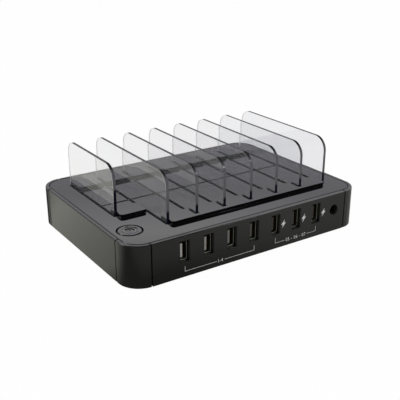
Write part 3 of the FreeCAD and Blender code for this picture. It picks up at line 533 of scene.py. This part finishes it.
# %% Plastic finishes
FINISHES = {
    "housing": plastic("satin black housing", (0.0085, 0.0085, 0.0080), (0.0115, 0.0115, 0.0105),
                       polish=0.16, smudged=0.22, grain_scale=2600.0, grain_strength=0.10),
    "cover": plastic("piano black cover", (0.0014, 0.0014, 0.0018), (0.0020, 0.0020, 0.0025),
                     polish=0.035, smudged=0.055, grain_scale=400.0, grain_strength=0.02),
    "button": plastic("polished button", (0.0060, 0.0060, 0.0065), (0.0080, 0.0080, 0.0085),
                      polish=0.06, smudged=0.10, grain_scale=900.0, grain_strength=0.03),
    "jack": plastic("inlet moulding", (0.0060, 0.0060, 0.0060), (0.0090, 0.0090, 0.0090),
                    polish=0.35, smudged=0.45, grain_scale=4000.0, grain_strength=0.30),
    "switch": plastic("switch moulding", (0.0100, 0.0100, 0.0105), (0.0140, 0.0140, 0.0145),
                      polish=0.35, smudged=0.45, grain_scale=4000.0, grain_strength=0.30),
    "chips": plastic("chip resin", (0.0120, 0.0120, 0.0120), (0.0180, 0.0180, 0.0180),
                     polish=0.50, smudged=0.60, grain_scale=5000.0, grain_strength=0.50),
    "inductors": plastic("pressed ferrite", (0.060, 0.060, 0.065), (0.090, 0.090, 0.095),
                         polish=0.55, smudged=0.65, grain_scale=3000.0, grain_strength=0.60),
    "feet": plastic("foot rubber", (0.0120, 0.0120, 0.0120), (0.0200, 0.0200, 0.0200),
                    polish=0.65, smudged=0.80, grain_scale=1800.0, grain_strength=0.80),
}
print(len(FINISHES), "plastics")

# %% [markdown]
# ## The painted highlight on the front edge
#
# The right-hand part of the upper front edge carries a painted highlight: a pale line
# where a lamp's glint would run. It is a mask from the height, the facing and the place
# along the front, laid over the housing's own colour. A separate strip of mesh could show
# it too, but would never lie so close.

# %% Painted edge highlight
# A pale line painted where a lamp's glint would run along the edge.
EDGE_HIGHLIGHT = (0.20, 0.20, 0.20)
EDGE_HIGHLIGHT_HEIGHT = (0.02870, 0.02890)
EDGE_HIGHLIGHT_SPAN = (-0.045, 0.010)
EDGE_HIGHLIGHT_FACING = (-0.6, -0.3)

def paint_edge_highlight(material):
    """Lay a painted pale highlight over the finish where a part's upper edge faces the front."""
    tree = material.node_tree
    base = tree.nodes["Principled BSDF"].inputs["Base Color"]
    place = place_of(tree, "Object")
    high = rising(tree, place["Z"], EDGE_HIGHLIGHT_HEIGHT)
    front = falling(tree, place_of(tree, "Normal")["Y"], EDGE_HIGHLIGHT_FACING)
    wear_and_highlight = maths(tree, "MULTIPLY", high, front)
    wear_and_highlight = maths(tree, "MULTIPLY", wear_and_highlight, rising(tree, place["X"], EDGE_HIGHLIGHT_SPAN))
    tree.links.new(blend_colours(tree, wear_and_highlight, base.links[0].from_socket, EDGE_HIGHLIGHT), base)


paint_edge_highlight(FINISHES["housing"])
print("edge highlight painted from", EDGE_HIGHLIGHT_HEIGHT[0], "m up")

# %% [markdown]
# ## Tongues in the sockets
#
# Each socket holds a moulded tongue that carries the contacts, in pale plastic with painted
# light and shade: its sides are painted dark, and its pale end is painted darker from
# socket to socket, palest at the first and hardly pale at the last three. One material
# serves all seven, because the tone of the ends follows the place along the front.

# %% Socket tongues
# Painted shade on the sides, and the ends' pale plastic painted darker along the front.
TONGUE_SHADED_SIDE = (0.012, 0.012, 0.011)
TONGUE_END_LIGHT_FALLOFF = [(-0.056, (0.50, 0.50, 0.48)), (-0.038, (0.34, 0.34, 0.32)),
               (-0.020, (0.19, 0.19, 0.18)), (-0.002, (0.08, 0.08, 0.07)),
               (0.016, (0.03, 0.03, 0.03))]
TONGUE_FACING = (-0.9, -0.7)
TONGUE_ROUGHNESS = 0.45
TONGUE_GRAIN_SCALE = 4000.0
TONGUE_GRAIN_STRENGTH = 0.25

def tongue_resin():
    material, tree, shader = new_material("socket insulator")
    front = falling(tree, place_of(tree, "Normal")["Y"], TONGUE_FACING)
    ends = tones(tree, place_of(tree, "Object")["X"], TONGUE_END_LIGHT_FALLOFF)
    tree.links.new(blend_colours(tree, front, TONGUE_SHADED_SIDE, ends), shader.inputs["Base Color"])
    shader.inputs["Roughness"].default_value = TONGUE_ROUGHNESS
    grain = use_group(tree, GRAIN, {"Grain Scale": TONGUE_GRAIN_SCALE})
    add_bump(tree, shader, grain["Height"], TONGUE_GRAIN_STRENGTH)
    return material


FINISHES["socket_insulator"] = tongue_resin()
print("tongues in", len(TONGUE_END_LIGHT_FALLOFF), "tones")

# %% [markdown]
# ## Metals
#
# Socket shells are nickel on folded steel, painted darker than bare nickel for the shade
# inside the sockets. Their lip is paler: rubbed bright by plugs, and painted brighter still
# for a glint.
# Contacts are gilt and screws are zinc plated. Plating is streaked along the strip, so
# the streaks drive the roughness and tint the colour slightly.

# %% Metal finishes
def metal(name, dark, light, smooth, rough, streak_scale):
    """Plated metal whose streaks shift its tone and its roughness."""
    material, tree, shader = new_material(name)
    shader.inputs["Metallic"].default_value = 1.0
    streaks = use_group(tree, STREAKS, {"Streak Scale": streak_scale})["Streaks"]
    tree.links.new(blend_colours(tree, streaks, dark, light), shader.inputs["Base Color"])
    tree.links.new(spread(tree, streaks, smooth, rough), shader.inputs["Roughness"])
    return material


# The shell's dark tone is painted shade inside the sockets.
FINISHES["socket_shell"] = metal("nickel shell in painted shade", (0.24, 0.24, 0.21), (0.34, 0.34, 0.30),
                                 smooth=0.30, rough=0.45, streak_scale=1800.0)
# The lip's metal is rubbed bright by plugs and painted brighter for a glint.
SHELL_LIP = metal("worn nickel lip", (0.70, 0.70, 0.56), (0.86, 0.86, 0.70),
                  smooth=0.30, rough=0.45, streak_scale=1800.0)
FINISHES["contacts"] = metal("gilt contact", (0.72, 0.54, 0.22), (0.88, 0.68, 0.32),
                             smooth=0.20, rough=0.32, streak_scale=2500.0)
FINISHES["screws"] = metal("zinc screw", (0.42, 0.42, 0.43), (0.58, 0.58, 0.60),
                           smooth=0.30, rough=0.45, streak_scale=1200.0)
FINISHES["jack_pin"] = metal("nickel pin", (0.62, 0.61, 0.58), (0.78, 0.77, 0.74),
                             smooth=0.20, rough=0.32, streak_scale=1800.0)
FINISHES["capacitors"] = metal("drawn aluminium", (0.66, 0.66, 0.68), (0.82, 0.82, 0.84),
                               smooth=0.28, rough=0.42, streak_scale=900.0)
print(len(FINISHES), "finishes with the metals")

# %% [markdown]
# ## Clear acrylic
#
# The plates are clear acrylic, faintly smoky, with a breath of colour from the stress in
# the sheet. Acrylic's own index is about 1.49. A lower one is used here, because eight
# plates in a row would otherwise mirror the studio more than they should in this
# picture. Lamps shine straight through the faces, which spares a lot of noise.

# %% Clear acrylic
CLEAR_SHARE = 0.982
CLEAR_LEVEL = 0.88
CLEAR_IOR = 1.32
SMUDGED_CLEAR = 0.008
PLATE_SMUDGE_SCALE = 45.0
STRESS_SCALE = 24.0
STRESS_SATURATION = 0.022
STRESS_HUES = (0.45, 0.90)

def clear_acrylic():
    material, tree, shader = new_material("clear acrylic")
    shader.inputs["Transmission Weight"].default_value = CLEAR_SHARE
    shader.inputs["IOR"].default_value = CLEAR_IOR
    stress = noise(tree, coordinates(tree), STRESS_SCALE,
                   detail=1.0, roughness=0.4, distortion=1.2)
    tint = add(tree, "ShaderNodeCombineColor",
               {"Green": STRESS_SATURATION, "Blue": CLEAR_LEVEL}, mode="HSV")
    tree.links.new(spread(tree, stress, *STRESS_HUES), tint.inputs["Red"])
    tree.links.new(tint.outputs[0], shader.inputs["Base Color"])
    marks = use_group(tree, MARKS, {"Smudge Scale": PLATE_SMUDGE_SCALE})
    tree.links.new(spread(tree, marks["Smudges"], 0.0, SMUDGED_CLEAR), shader.inputs["Roughness"])
    through = add(tree, "ShaderNodeMixShader")
    tree.links.new(add(tree, "ShaderNodeLightPath").outputs["Is Shadow Ray"], through.inputs[0])
    tree.links.new(shader.outputs[0], through.inputs[1])
    tree.links.new(add(tree, "ShaderNodeBsdfTransparent").outputs[0], through.inputs[2])
    tree.links.new(through.outputs[0], tree.nodes["Material Output"].inputs["Surface"])
    return material


FINISHES["clear_plate"] = clear_acrylic()
print("acrylic with an index of", CLEAR_IOR)

# %% [markdown]
# ## Rims of the plates
#
# The sawn rim is a satin material whose colour is painted light and shade: grey where it
# faces the front, dark where it turns upwards and nearly black in painted shade at the foot,
# where it looks into the slot. At the rear the rim is only a pale film of painted light.
# Real refraction would give much of this, but it takes far more samples than a small tone
# does.

# %% Plate rims
RIM_POLISH = (0.12, 0.18)
RIM_SMUDGE_SCALE = 90.0
RIM_SPECULAR = 0.25
# Painted light and shade by the facing along Y, from straight forwards at -1 to upwards at 0.
RIM_LIGHT_AND_SHADE = [(-1.0, (0.13, 0.13, 0.145)), (-0.85, (0.11, 0.11, 0.125)),
             (-0.60, (0.018, 0.018, 0.022)), (-0.20, (0.014, 0.014, 0.018)),
             (0.0, (0.014, 0.014, 0.018))]
# Painted shade at the foot, where the rim looks into the slot.
RIM_FOOT_SHADE = (0.008, 0.010, 0.020)
FOOT_FADE = (0.0, 0.0015)
# Painted light for the pale rim at the rear.
PALE_RIM_LIGHT = ((0.65, 0.65, 0.73), (0.75, 0.75, 0.83))
PALE_RIM_SHARE = 0.45

def smudge_rim(tree, shader):
    marks = use_group(tree, MARKS, {"Smudge Scale": RIM_SMUDGE_SCALE})
    tree.links.new(spread(tree, marks["Smudges"], *RIM_POLISH), shader.inputs["Roughness"])


def rim_light_and_shade():
    material, tree, shader = new_material("rim with painted light and shade")
    height = add(tree, "ShaderNodeAttribute", attribute_name="above_foot")
    above = rising(tree, height.outputs["Fac"], FOOT_FADE)
    facing_shade = tones(tree, place_of(tree, "Normal")["Y"], RIM_LIGHT_AND_SHADE)
    tree.links.new(blend_colours(tree, above, RIM_FOOT_SHADE, facing_shade), shader.inputs["Base Color"])
    smudge_rim(tree, shader)
    shader.inputs["Specular IOR Level"].default_value = RIM_SPECULAR
    return material


def pale_rim():
    material, tree, shader = new_material("pale rim")
    cloud = use_group(tree, GRAIN)["Cloud"]
    tree.links.new(blend_colours(tree, cloud, *PALE_RIM_LIGHT), shader.inputs["Base Color"])
    smudge_rim(tree, shader)
    shader.inputs["Alpha"].default_value = PALE_RIM_SHARE
    return material


RIMS = [rim_light_and_shade(), pale_rim()]
print("rims:", [rim.name for rim in RIMS])

# %% [markdown]
# ## Ink and board
#
# The print is a thin ink that lets a little of the black through, so its white is uneven
# when seen close. The board inside wears a green mask, with paler lines where copper
# runs below it: a brick pattern is enough for a board that hardly shows.

# %% Inks and board
INK_GRAIN = {"Grain Scale": 9000.0, "Cloud Scale": 700.0}
INK_POLISH = (0.35, 0.55)
MASK_COLOURS = {"Color1": (0.010, 0.070, 0.030, 1.0), "Color2": (0.012, 0.085, 0.036, 1.0),
                "Mortar": (0.030, 0.130, 0.060, 1.0)}
TRACE_SIZES = {"Scale": 180.0, "Mortar Size": 0.06}
BOARD_GRAIN_SCALE = 2500.0
BOARD_POLISH = (0.25, 0.40)

def thin_ink(name, dark, light):
    material, tree, shader = new_material(name)
    grain = use_group(tree, GRAIN, INK_GRAIN)
    tree.links.new(blend_colours(tree, grain["Cloud"], dark, light), shader.inputs["Base Color"])
    tree.links.new(spread(tree, grain["Height"], *INK_POLISH), shader.inputs["Roughness"])
    return material


def board_mask():
    material, tree, shader = new_material("solder mask")
    traces = add(tree, "ShaderNodeTexBrick", {**MASK_COLOURS, **TRACE_SIZES})
    tree.links.new(coordinates(tree), traces.inputs["Vector"])
    tree.links.new(traces.outputs["Color"], shader.inputs["Base Color"])
    grain = use_group(tree, GRAIN, {"Grain Scale": BOARD_GRAIN_SCALE})
    tree.links.new(spread(tree, grain["Height"], *BOARD_POLISH), shader.inputs["Roughness"])
    return material


FINISHES["board"] = board_mask()
WHITE_INK = thin_ink("white ink", (0.72, 0.72, 0.71), (0.86, 0.86, 0.85))
# The grey ink also carries the painted highlight on the button's dish.
GREY_INK_AND_HIGHLIGHT = thin_ink("grey ink and painted highlight", (0.20, 0.20, 0.20), (0.26, 0.26, 0.26))
print(len(FINISHES), "finishes in all, and two inks")

# %% [markdown]
# ## Every solid gets its finish
#
# The record names a finish for each solid. The solids that stay as they are take theirs
# here; the ones that are modelled again below take the same finish by the same name.

# %% Dress the frame
SLOT_OF = {row["node"]: row["material_slot"] for row in frame["record"]["subparts"]}
BODIES = frame["record"]["behaviour"]["bodies"]
BODY_OF = {node: body for body, members in BODIES.items() for node in members}

for node, solid in nodes.items():
    solid.data.materials.clear()
    solid.data.materials.append(FINISHES[SLOT_OF[node]])
print("dressed", len(nodes), "solids")

# %% [markdown]
# ## Pieces that stand for solids
#
# A piece that is modelled again rides on the same body as its solid and hides it. Print
# brings a material of its own: it rides along, but hides nothing. Every piece can have
# its sharp edges rounded by a Bevel modifier, which picks them by their angle and leaves
# the mesh below it simple.

# %% Piece helpers
SHARP_ANGLE = math.radians(32)
ROUND_SEGMENTS = 2

def make_piece(name, shape, node, material=None):
    """A finished mesh that rides where a solid does, and replaces it unless it is print."""
    mesh = bpy.data.meshes.new(name)
    shape.to_mesh(mesh)
    shape.free()
    mesh.materials.append(material or FINISHES[SLOT_OF[node]])
    piece = bpy.data.objects.new(name, mesh)
    scene.collection.objects.link(piece)
    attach(piece, BODY_OF[node])
    if material is None:
        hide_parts(node)
    return piece


def round_edges(piece, radius):
    piece.data.shade_smooth()
    rounding = piece.modifiers.new("rounded edges", "BEVEL")
    rounding.width = radius
    rounding.segments = ROUND_SEGMENTS
    rounding.limit_method = "ANGLE"
    rounding.angle_limit = SHARP_ANGLE
    rounding.harden_normals = True


print("edges that turn by more than", round(math.degrees(SHARP_ANGLE)), "degrees are rounded")

# %% [markdown]
# ## Rounded edges on the mouldings
#
# No moulded edge is sharp: light runs along every one. A copy of a solid has its loose
# triangles merged and its flat faces joined, so that only the true edges are left to
# round. The copied normals belong to the old triangles and are removed. The solid itself
# stays untouched underneath.

# %% Pieces from the mouldings
MERGE_DISTANCE = 0.000002
FLAT_ANGLE = math.radians(0.5)
EDGE_RADIUS = {"base_tray": 0.00018, "front_panel": 0.00005, "rear_panel": 0.00015,
               "left_panel": 0.00015, "right_panel": 0.00015, "top_cover": 0.00015,
               "power_button": 0.00012, "dc_jack": 0.00010, "feet": 0.00015}

def copy_of(node):
    """The solid's mesh with its triangles merged and its flat faces joined."""
    shape = bmesh.new()
    shape.from_mesh(nodes[node].data)
    bmesh.ops.remove_doubles(shape, verts=shape.verts[:], dist=MERGE_DISTANCE)
    bmesh.ops.dissolve_limit(shape, angle_limit=FLAT_ANGLE,
                             verts=shape.verts[:], edges=shape.edges[:])
    for edge in shape.edges:
        edge.smooth = True
    return shape


for node, radius in EDGE_RADIUS.items():
    moulding = make_piece(f"{node}_moulding", copy_of(node), node)
    if "custom_normal" in moulding.data.attributes:
        moulding.data.attributes.remove(moulding.data.attributes["custom_normal"])
    round_edges(moulding, radius)
    print(moulding.name, len(moulding.data.polygons), "faces before rounding")

# %% [markdown]
# ## Working with sheet
#
# Plates and socket shells both start as a flat sheet. A unit square is scaled to size,
# set upright by quarter turns and drawn out to its thickness or depth. Drawing out can
# turn faces inside out, so the normals are recalculated each time.

# %% Sheet helpers
UNIT_HALF = 0.5

def flat_sheet(width, length):
    """A rectangle that lies around the origin."""
    shape = bmesh.new()
    bmesh.ops.create_grid(shape, x_segments=1, y_segments=1, size=UNIT_HALF)
    bmesh.ops.scale(shape, vec=(width, length, 1.0), verts=shape.verts[:])
    return shape


def quarter_turn(shape, axis):
    turn = Matrix.Rotation(math.pi / 2, 3, axis)
    bmesh.ops.rotate(shape, cent=(0, 0, 0), matrix=turn, verts=shape.verts[:])


def draw_out(shape, reach):
    """Extrude the whole sheet and carry the new end along."""
    grown = bmesh.ops.extrude_face_region(shape, geom=shape.faces[:])
    end = [part for part in grown["geom"] if isinstance(part, bmesh.types.BMVert)]
    bmesh.ops.translate(shape, vec=reach, verts=end)
    bmesh.ops.recalc_face_normals(shape, faces=shape.faces[:])


print("sheet helpers:", [helper.__name__ for helper in (flat_sheet, quarter_turn, draw_out)])

# %% [markdown]
# ## The outline of a plate
#
# Each plate is cut from clear sheet, with two rounded upper corners. Bevelling these two
# corners of one rectangle gives the outline. A curve could be traced instead, but two
# radii are easier to change.

# %% Plate outline
FRONT_CORNER = 0.010
REAR_CORNER = 0.009
CORNER_STEPS = 24
TOP_MARGIN = 0.00018

def plate_outline(low, high):
    """The plate's left face, upright, with its two upper corners rounded."""
    size, middle = high - low, (low + high) / 2
    shape = flat_sheet(size.y, size.z)
    quarter_turn(shape, "X")
    quarter_turn(shape, "Z")
    bmesh.ops.translate(shape, vec=(low.x, middle.y, middle.z), verts=shape.verts[:])
    for rear, radius in ((False, FRONT_CORNER), (True, REAR_CORNER)):
        upper = [vert for vert in shape.verts
                 if vert.co.z > high.z - TOP_MARGIN and (vert.co.y > middle.y) == rear]
        corner = max(upper, key=lambda vert: vert.co.y if rear else -vert.co.y)
        bmesh.ops.bevel(shape, geom=[corner], offset=radius, segments=CORNER_STEPS, profile=0.5,
                        affect="VERTICES", material=-1)
    return shape


print("plate corners of", FRONT_CORNER * 1000, "and", REAR_CORNER * 1000, "mm")

# %% [markdown]
# ## Clear plates
#
# The outline is drawn out to the sheet's thickness, and a fine bevel along the rim stands
# for the polished arris. Each point also keeps its height above the foot, for the rim's
# painted shade to read. The first plate is short, so its rim looks into the slot from higher up.
# Mirror images of the plates would draw a grid over the cover that a real one hardly
# shows, so mirrors leave them out.

# %% Clear plates
ARRIS = 0.00018
RIM_MATERIAL = 1
PALE_RIM_MATERIAL = 2
RIM_FACING = 0.5
REAR_FACING = 0.35
FOOT_TOP = 0.0365
SHORT_FOOT_TOP = 0.0465
SHORT_PLATE = 0.080

def clear_plate(low, high):
    shape = plate_outline(low, high)
    draw_out(shape, (high.x - low.x, 0, 0))
    foot_top = SHORT_FOOT_TOP if high.y - low.y < SHORT_PLATE else FOOT_TOP
    above_foot = shape.verts.layers.float.new("above_foot")
    for vert in shape.verts:
        vert[above_foot] = vert.co.z - foot_top
    for face in shape.faces:
        if abs(face.normal.x) < RIM_FACING:
            at_rear = face.normal.y > REAR_FACING
            face.material_index = PALE_RIM_MATERIAL if at_rear else RIM_MATERIAL
    return shape


plate_nodes = sorted(node for node in nodes if SLOT_OF[node] == "clear_plate")
for node in plate_nodes:
    plate = make_piece(f"{node}_plate", clear_plate(*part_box(node)), node)
    for rim in RIMS:
        plate.data.materials.append(rim)
    plate.visible_glossy = False
    round_edges(plate, ARRIS)
print(len(plate_nodes), "plates")

# %% [markdown]
# ## Spring fingers
#
# Two spring fingers on each wide side of a socket are pressed inwards from its shell and
# grip the plug. A finger is a grid of one row, bent to a soft wave that faces into the
# tube. It could be cut out of the wall, but from outside only its bulge shows.

# %% Spring fingers
FINGER_WIDTH = 0.0022
FINGER_START = 0.0012
FINGER_LENGTH = 0.0060
FINGER_BULGE = 0.00040
FINGER_STEPS = 10

def spring_finger(shape, wall_x, inwards, front_y, middle_z):
    """A strip that bows inwards from the wall."""
    strip = bmesh.ops.create_grid(shape, x_segments=FINGER_STEPS, y_segments=1, size=UNIT_HALF)
    for vert in strip["verts"]:
        along, aside = vert.co.x + UNIT_HALF, inwards * vert.co.y
        bow = FINGER_BULGE * math.sin(math.pi * along) ** 2
        vert.co = (wall_x + inwards * bow,
                   front_y + FINGER_START + along * FINGER_LENGTH,
                   middle_z + aside * FINGER_WIDTH)


print("fingers of", FINGER_STEPS, "faces bow inwards by", FINGER_BULGE * 1000, "mm")

# %% [markdown]
# ## Socket shells
#
# A socket's shell is a strip of steel folded into a tube with a rounded mouth. The
# section is a rectangle with bevelled corners and an inset for the wall, drawn out along
# the depth. The lip at the front gets the paler metal with its painted glint, and the
# fingers come last.

# %% Socket shells
SHELL_CORNER = 0.0008
SHELL_CORNER_STEPS = 6
SHELL_WALL = 0.00035
MOUTH_ROUND = 0.00010
FINGER_SPREAD = 0.0030
LIP_MATERIAL = 1
LIP_FACING = 0.9

def socket_shell(low, high):
    size, middle = high - low, (low + high) / 2
    shape = flat_sheet(size.x, size.z)
    quarter_turn(shape, "X")
    bmesh.ops.translate(shape, vec=(middle.x, low.y, middle.z), verts=shape.verts[:])
    bmesh.ops.bevel(shape, geom=shape.verts[:], offset=SHELL_CORNER, segments=SHELL_CORNER_STEPS,
                    profile=0.5, affect="VERTICES", material=-1)
    bmesh.ops.inset_region(shape, faces=shape.faces[:], thickness=SHELL_WALL, use_boundary=True,
                           use_even_offset=True)
    inner = max(shape.faces, key=lambda face: face.calc_area())
    bmesh.ops.delete(shape, geom=[inner], context="FACES_ONLY")
    draw_out(shape, (0, size.y, 0))
    for face in shape.faces:
        face.material_index = LIP_MATERIAL if face.normal.y < -LIP_FACING else 0
    for inwards, wall_x in ((1, low.x + SHELL_WALL), (-1, high.x - SHELL_WALL)):
        for side in (-1, 1):
            spring_finger(shape, wall_x, inwards, low.y, middle.z + side * FINGER_SPREAD)
    return shape


shell_nodes = sorted(node for node in nodes if SLOT_OF[node] == "socket_shell")
for node in shell_nodes:
    shell = make_piece(f"{node}_tube", socket_shell(*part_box(node)), node)
    shell.data.materials.append(SHELL_LIP)
    round_edges(shell, MOUTH_ROUND)
print(len(shell_nodes), "shells")

# %% [markdown]
# ## Outlines of a screw
#
# A turned screw is a stack of circles, and a cross recess is what makes its head read as
# a screw. These helpers make one circle or one cross at some height and find the edges
# of either, ready to be bridged.

# %% Screw outlines
SCREW_SIDES = 36
CROSS_REACH = 0.0016
CROSS_HALF_WIDTH = 0.00038

def ring(shape, radius, z):
    return bmesh.ops.create_circle(shape, segments=SCREW_SIDES, radius=radius, cap_ends=False,
                                   matrix=Matrix.Translation((0, 0, z)))["verts"]


def cross(shape, z):
    """The closed outline of the cross recess at one height."""
    a, b = CROSS_HALF_WIDTH, CROSS_REACH
    outline = [(a, b), (a, a), (b, a), (b, -a), (a, -a), (a, -b),
               (-a, -b), (-a, -a), (-b, -a), (-b, a), (-a, a), (-a, b)]
    verts = [shape.verts.new((u, v, z)) for u, v in outline]
    for start, end in zip(verts, verts[1:] + verts[:1]):
        shape.edges.new((start, end))
    return verts


def loop_of(verts):
    return list({edge for vert in verts for edge in vert.link_edges})


print("screws with", SCREW_SIDES, "sides and a cross of", CROSS_REACH * 2000, "mm")

# %% [markdown]
# ## Screws
#
# Four screws hold the cover from below. Circles are bridged from the head to the end of
# the shank, and the cross is bridged to the head's circle and then pushed inwards. The
# thread is left out, because it stays hidden in the cover's posts.

# %% Case screws
HEAD_RADIUS = 0.0028
HEAD_HEIGHT = 0.0020
SHANK_RADIUS = 0.0015
CROSS_DEPTH = 0.0012
SCREW_EDGE = 0.00020

def case_screw(shape, x, y, low_z, high_z):
    known = set(shape.verts)
    head_low = ring(shape, HEAD_RADIUS, low_z)
    head_high = ring(shape, HEAD_RADIUS, low_z + HEAD_HEIGHT)
    shank_low = ring(shape, SHANK_RADIUS, low_z + HEAD_HEIGHT)
    shank_high = ring(shape, SHANK_RADIUS, high_z)
    mouth = cross(shape, low_z)
    bottom = cross(shape, low_z + CROSS_DEPTH)
    pairs = [(head_low, head_high), (head_high, shank_low), (shank_low, shank_high),
             (head_low, mouth), (mouth, bottom)]
    loops = {id(verts): loop_of(verts) for pair in pairs for verts in pair}
    for first, second in pairs:
        bmesh.ops.bridge_loops(shape, edges=loops[id(first)] + loops[id(second)])
    shape.faces.new(bottom)
    shape.faces.new(shank_high)
    bmesh.ops.translate(shape, vec=(x, y, 0),
                        verts=[vert for vert in shape.verts if vert not in known])


low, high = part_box("case_screws")
screws = bmesh.new()
for x in (low.x + HEAD_RADIUS, high.x - HEAD_RADIUS):
    for y in (low.y + HEAD_RADIUS, high.y - HEAD_RADIUS):
        case_screw(screws, x, y, low.z, high.z)
bmesh.ops.recalc_face_normals(screws, faces=screws.faces[:])
round_edges(make_piece("case_screws_turned", screws, "case_screws"), SCREW_EDGE)
print("4 screws at", round(high.x - HEAD_RADIUS, 4), round(high.y - HEAD_RADIUS, 4))

# %% [markdown]
# ## Tools for print
#
# Ink is a film, so flat faces a hair in front of the panel are enough. Lines and bolts
# are filled outlines. Numbers come from Blender's own font: a text object is made a mesh
# while it lies around the origin, because the finished piece must sit there unturned.

# %% Print helpers
INK_LIFT = 0.00002
LETTER_SIZE = 0.0034

def flat_words(words, spacing):
    """The outline of some words as a mesh, lying flat around the origin."""
    curve = bpy.data.curves.new("words", "FONT")
    curve.body = words
    curve.space_character = spacing
    curve.size = LETTER_SIZE
    curve.align_x = "CENTER"
    curve.align_y = "CENTER"
    holder = bpy.data.objects.new("words", curve)
    scene.collection.objects.link(holder)
    finished = holder.evaluated_get(bpy.context.evaluated_depsgraph_get())
    mesh = bpy.data.meshes.new_from_object(finished)
    bpy.data.objects.remove(holder)
    return mesh


def fill(shape, outline, y):
    shape.faces.new([shape.verts.new((x, y, z)) for x, z in outline])


def line(shape, left, right, low, high, y):
    fill(shape, [(left, low), (right, low), (right, high), (left, high)], y)


ink_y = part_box("front_panel")[0].y - INK_LIFT
print("print at y", round(ink_y, 5))

# %% [markdown]
# ## Print on the front
#
# White ink groups the sockets: a bracket under the first four and one under the last
# three, each with the numbers of its sockets, and a bolt beside each of the last three.
# The places come from the sockets themselves, so the print follows them.

# %% Front print
LINE_WIDTH = 0.00026
LETTER_MARGIN = 0.0012
BOLT_SIDE = 0.0066
BOLT_Z = 0.0176
BOLT = [(0.0011, 0.0031), (-0.0021, -0.0005), (-0.0003, -0.0005),
        (-0.0013, -0.0031), (0.0020, 0.0008), (0.0003, 0.0008)]
BRACKETS = [{"sockets": (1, 4), "words": "1-4", "spacing": 1.0, "z": 0.0046, "top": 0.0082},
            {"sockets": (5, 7), "words": "05 - 06 - 07", "spacing": 1.1, "z": 0.0049,
             "top": 0.0085}]

def socket_x(number):
    low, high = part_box(f"usb_shell_{number}")
    return (low.x + high.x) / 2


def print_bracket(shape, bracket):
    """A line with two upturned ends, broken in the middle by its words."""
    left, right = (socket_x(number) for number in bracket["sockets"])
    middle, z, half = (left + right) / 2, bracket["z"], LINE_WIDTH / 2
    words = flat_words(bracket["words"], bracket["spacing"])
    ends = [pick(vert.co.x for vert in words.vertices) for pick in (min, max)]
    words.transform(Matrix.Translation((-sum(ends) / 2, 0, 0)))
    upright = Matrix.Rotation(math.pi / 2, 4, "X")
    words.transform(Matrix.Translation((middle, ink_y, z)) @ upright)
    shape.from_mesh(words)
    reach = (ends[1] - ends[0]) / 2 + LETTER_MARGIN
    line(shape, left - half, middle - reach, z - half, z + half, ink_y)
    line(shape, middle + reach, right + half, z - half, z + half, ink_y)
    for end in (left, right):
        line(shape, end - half, end + half, z + half, bracket["top"], ink_y)


ink = bmesh.new()
for bracket in BRACKETS:
    print_bracket(ink, bracket)
first_bolt, last_bolt = BRACKETS[-1]["sockets"]
for number in range(first_bolt, last_bolt + 1):
    fill(ink, [(socket_x(number) + BOLT_SIDE + x, BOLT_Z + z) for x, z in BOLT], ink_y)
make_piece("front_print", ink, "front_panel", WHITE_INK)
print(len(BRACKETS), "brackets and", last_bolt + 1 - first_bolt, "bolts")

# %% [markdown]
# ## Lines of the button's mark
#
# The mark has two kinds of line: rings, each a short edge spun round the axis, and a bar.
# Both are made flat around the origin, where they are easy to measure.

# %% Mark lines
MARK_LINE = 0.00042
MARK_STEPS = 40

def flat_ring(shape, radius, width, gap):
    """A ring around the origin that stays open by a gap on each side of the rear."""
    start = Matrix.Rotation(-gap, 3, "Z")
    ends = [shape.verts.new(start @ Vector((0, reach, 0)))
            for reach in (radius - width / 2, radius + width / 2)]
    bmesh.ops.spin(shape, geom=[*ends, shape.edges.new(ends)], cent=(0, 0, 0), axis=(0, 0, -1),
                   angle=2 * math.pi - 2 * gap, steps=MARK_STEPS, use_merge=gap == 0)


def flat_bar(shape, low, high):
    """A bar that points to the rear, between two distances from the origin."""
    verts = bmesh.ops.create_grid(shape, x_segments=1, y_segments=1, size=UNIT_HALF)["verts"]
    bmesh.ops.scale(shape, vec=(MARK_LINE, high - low, 1.0), verts=verts)
    bmesh.ops.translate(shape, vec=(0, (low + high) / 2, 0), verts=verts)


print("rings in", MARK_STEPS, "steps, and a bar", round(MARK_LINE * 1000, 2), "mm wide")

# %% [markdown]
# ## The button's mark
#
# A broken ring with a bar stands for power on any maker's button. A wider ring along the
# rim of the shallow dish is a painted highlight in the same ink. Each point of the flat
# mark is dropped on to the ball that the dish is cut from, so the ink follows the hollow.

# %% Button mark
HIGHLIGHT_RING_RADIUS = 0.0039
HIGHLIGHT_RING_LINE = 0.00055
MARK_RADIUS = 0.0019
MARK_GAP = math.radians(38)
BAR_LOW_SHARE = 0.25
BAR_HIGH_SHARE = 1.2
DISH_RADIUS = 0.0042
DISH_DEPTH = 0.0005
BALL_RADIUS = (DISH_RADIUS ** 2 + DISH_DEPTH ** 2) / (2 * DISH_DEPTH)

low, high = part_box("power_button")
button_middle = (low + high) / 2
dish_bottom = high.z - DISH_DEPTH

def drop_on_dish(shape):
    """Carry a flat shape to the button, sink each point on to the dish and face it upwards."""
    for vert in shape.verts:
        u, v = vert.co.xy
        sag = BALL_RADIUS - math.sqrt(BALL_RADIUS ** 2 - u * u - v * v)
        vert.co = (button_middle.x + u, button_middle.y + v, dish_bottom + sag + INK_LIFT)
    shape.normal_update()
    bmesh.ops.reverse_faces(shape, faces=[face for face in shape.faces if face.normal.z < 0])


mark = bmesh.new()
# The outer ring is a painted highlight along the dish's rim.
flat_ring(mark, HIGHLIGHT_RING_RADIUS, HIGHLIGHT_RING_LINE, 0.0)
flat_ring(mark, MARK_RADIUS, MARK_LINE, MARK_GAP)
flat_bar(mark, MARK_RADIUS * BAR_LOW_SHARE, MARK_RADIUS * BAR_HIGH_SHARE)
drop_on_dish(mark)
make_piece("button_mark_and_highlight", mark, "power_button", GREY_INK_AND_HIGHLIGHT)
print("mark on the button at", round(button_middle.x, 4), round(button_middle.y, 4))
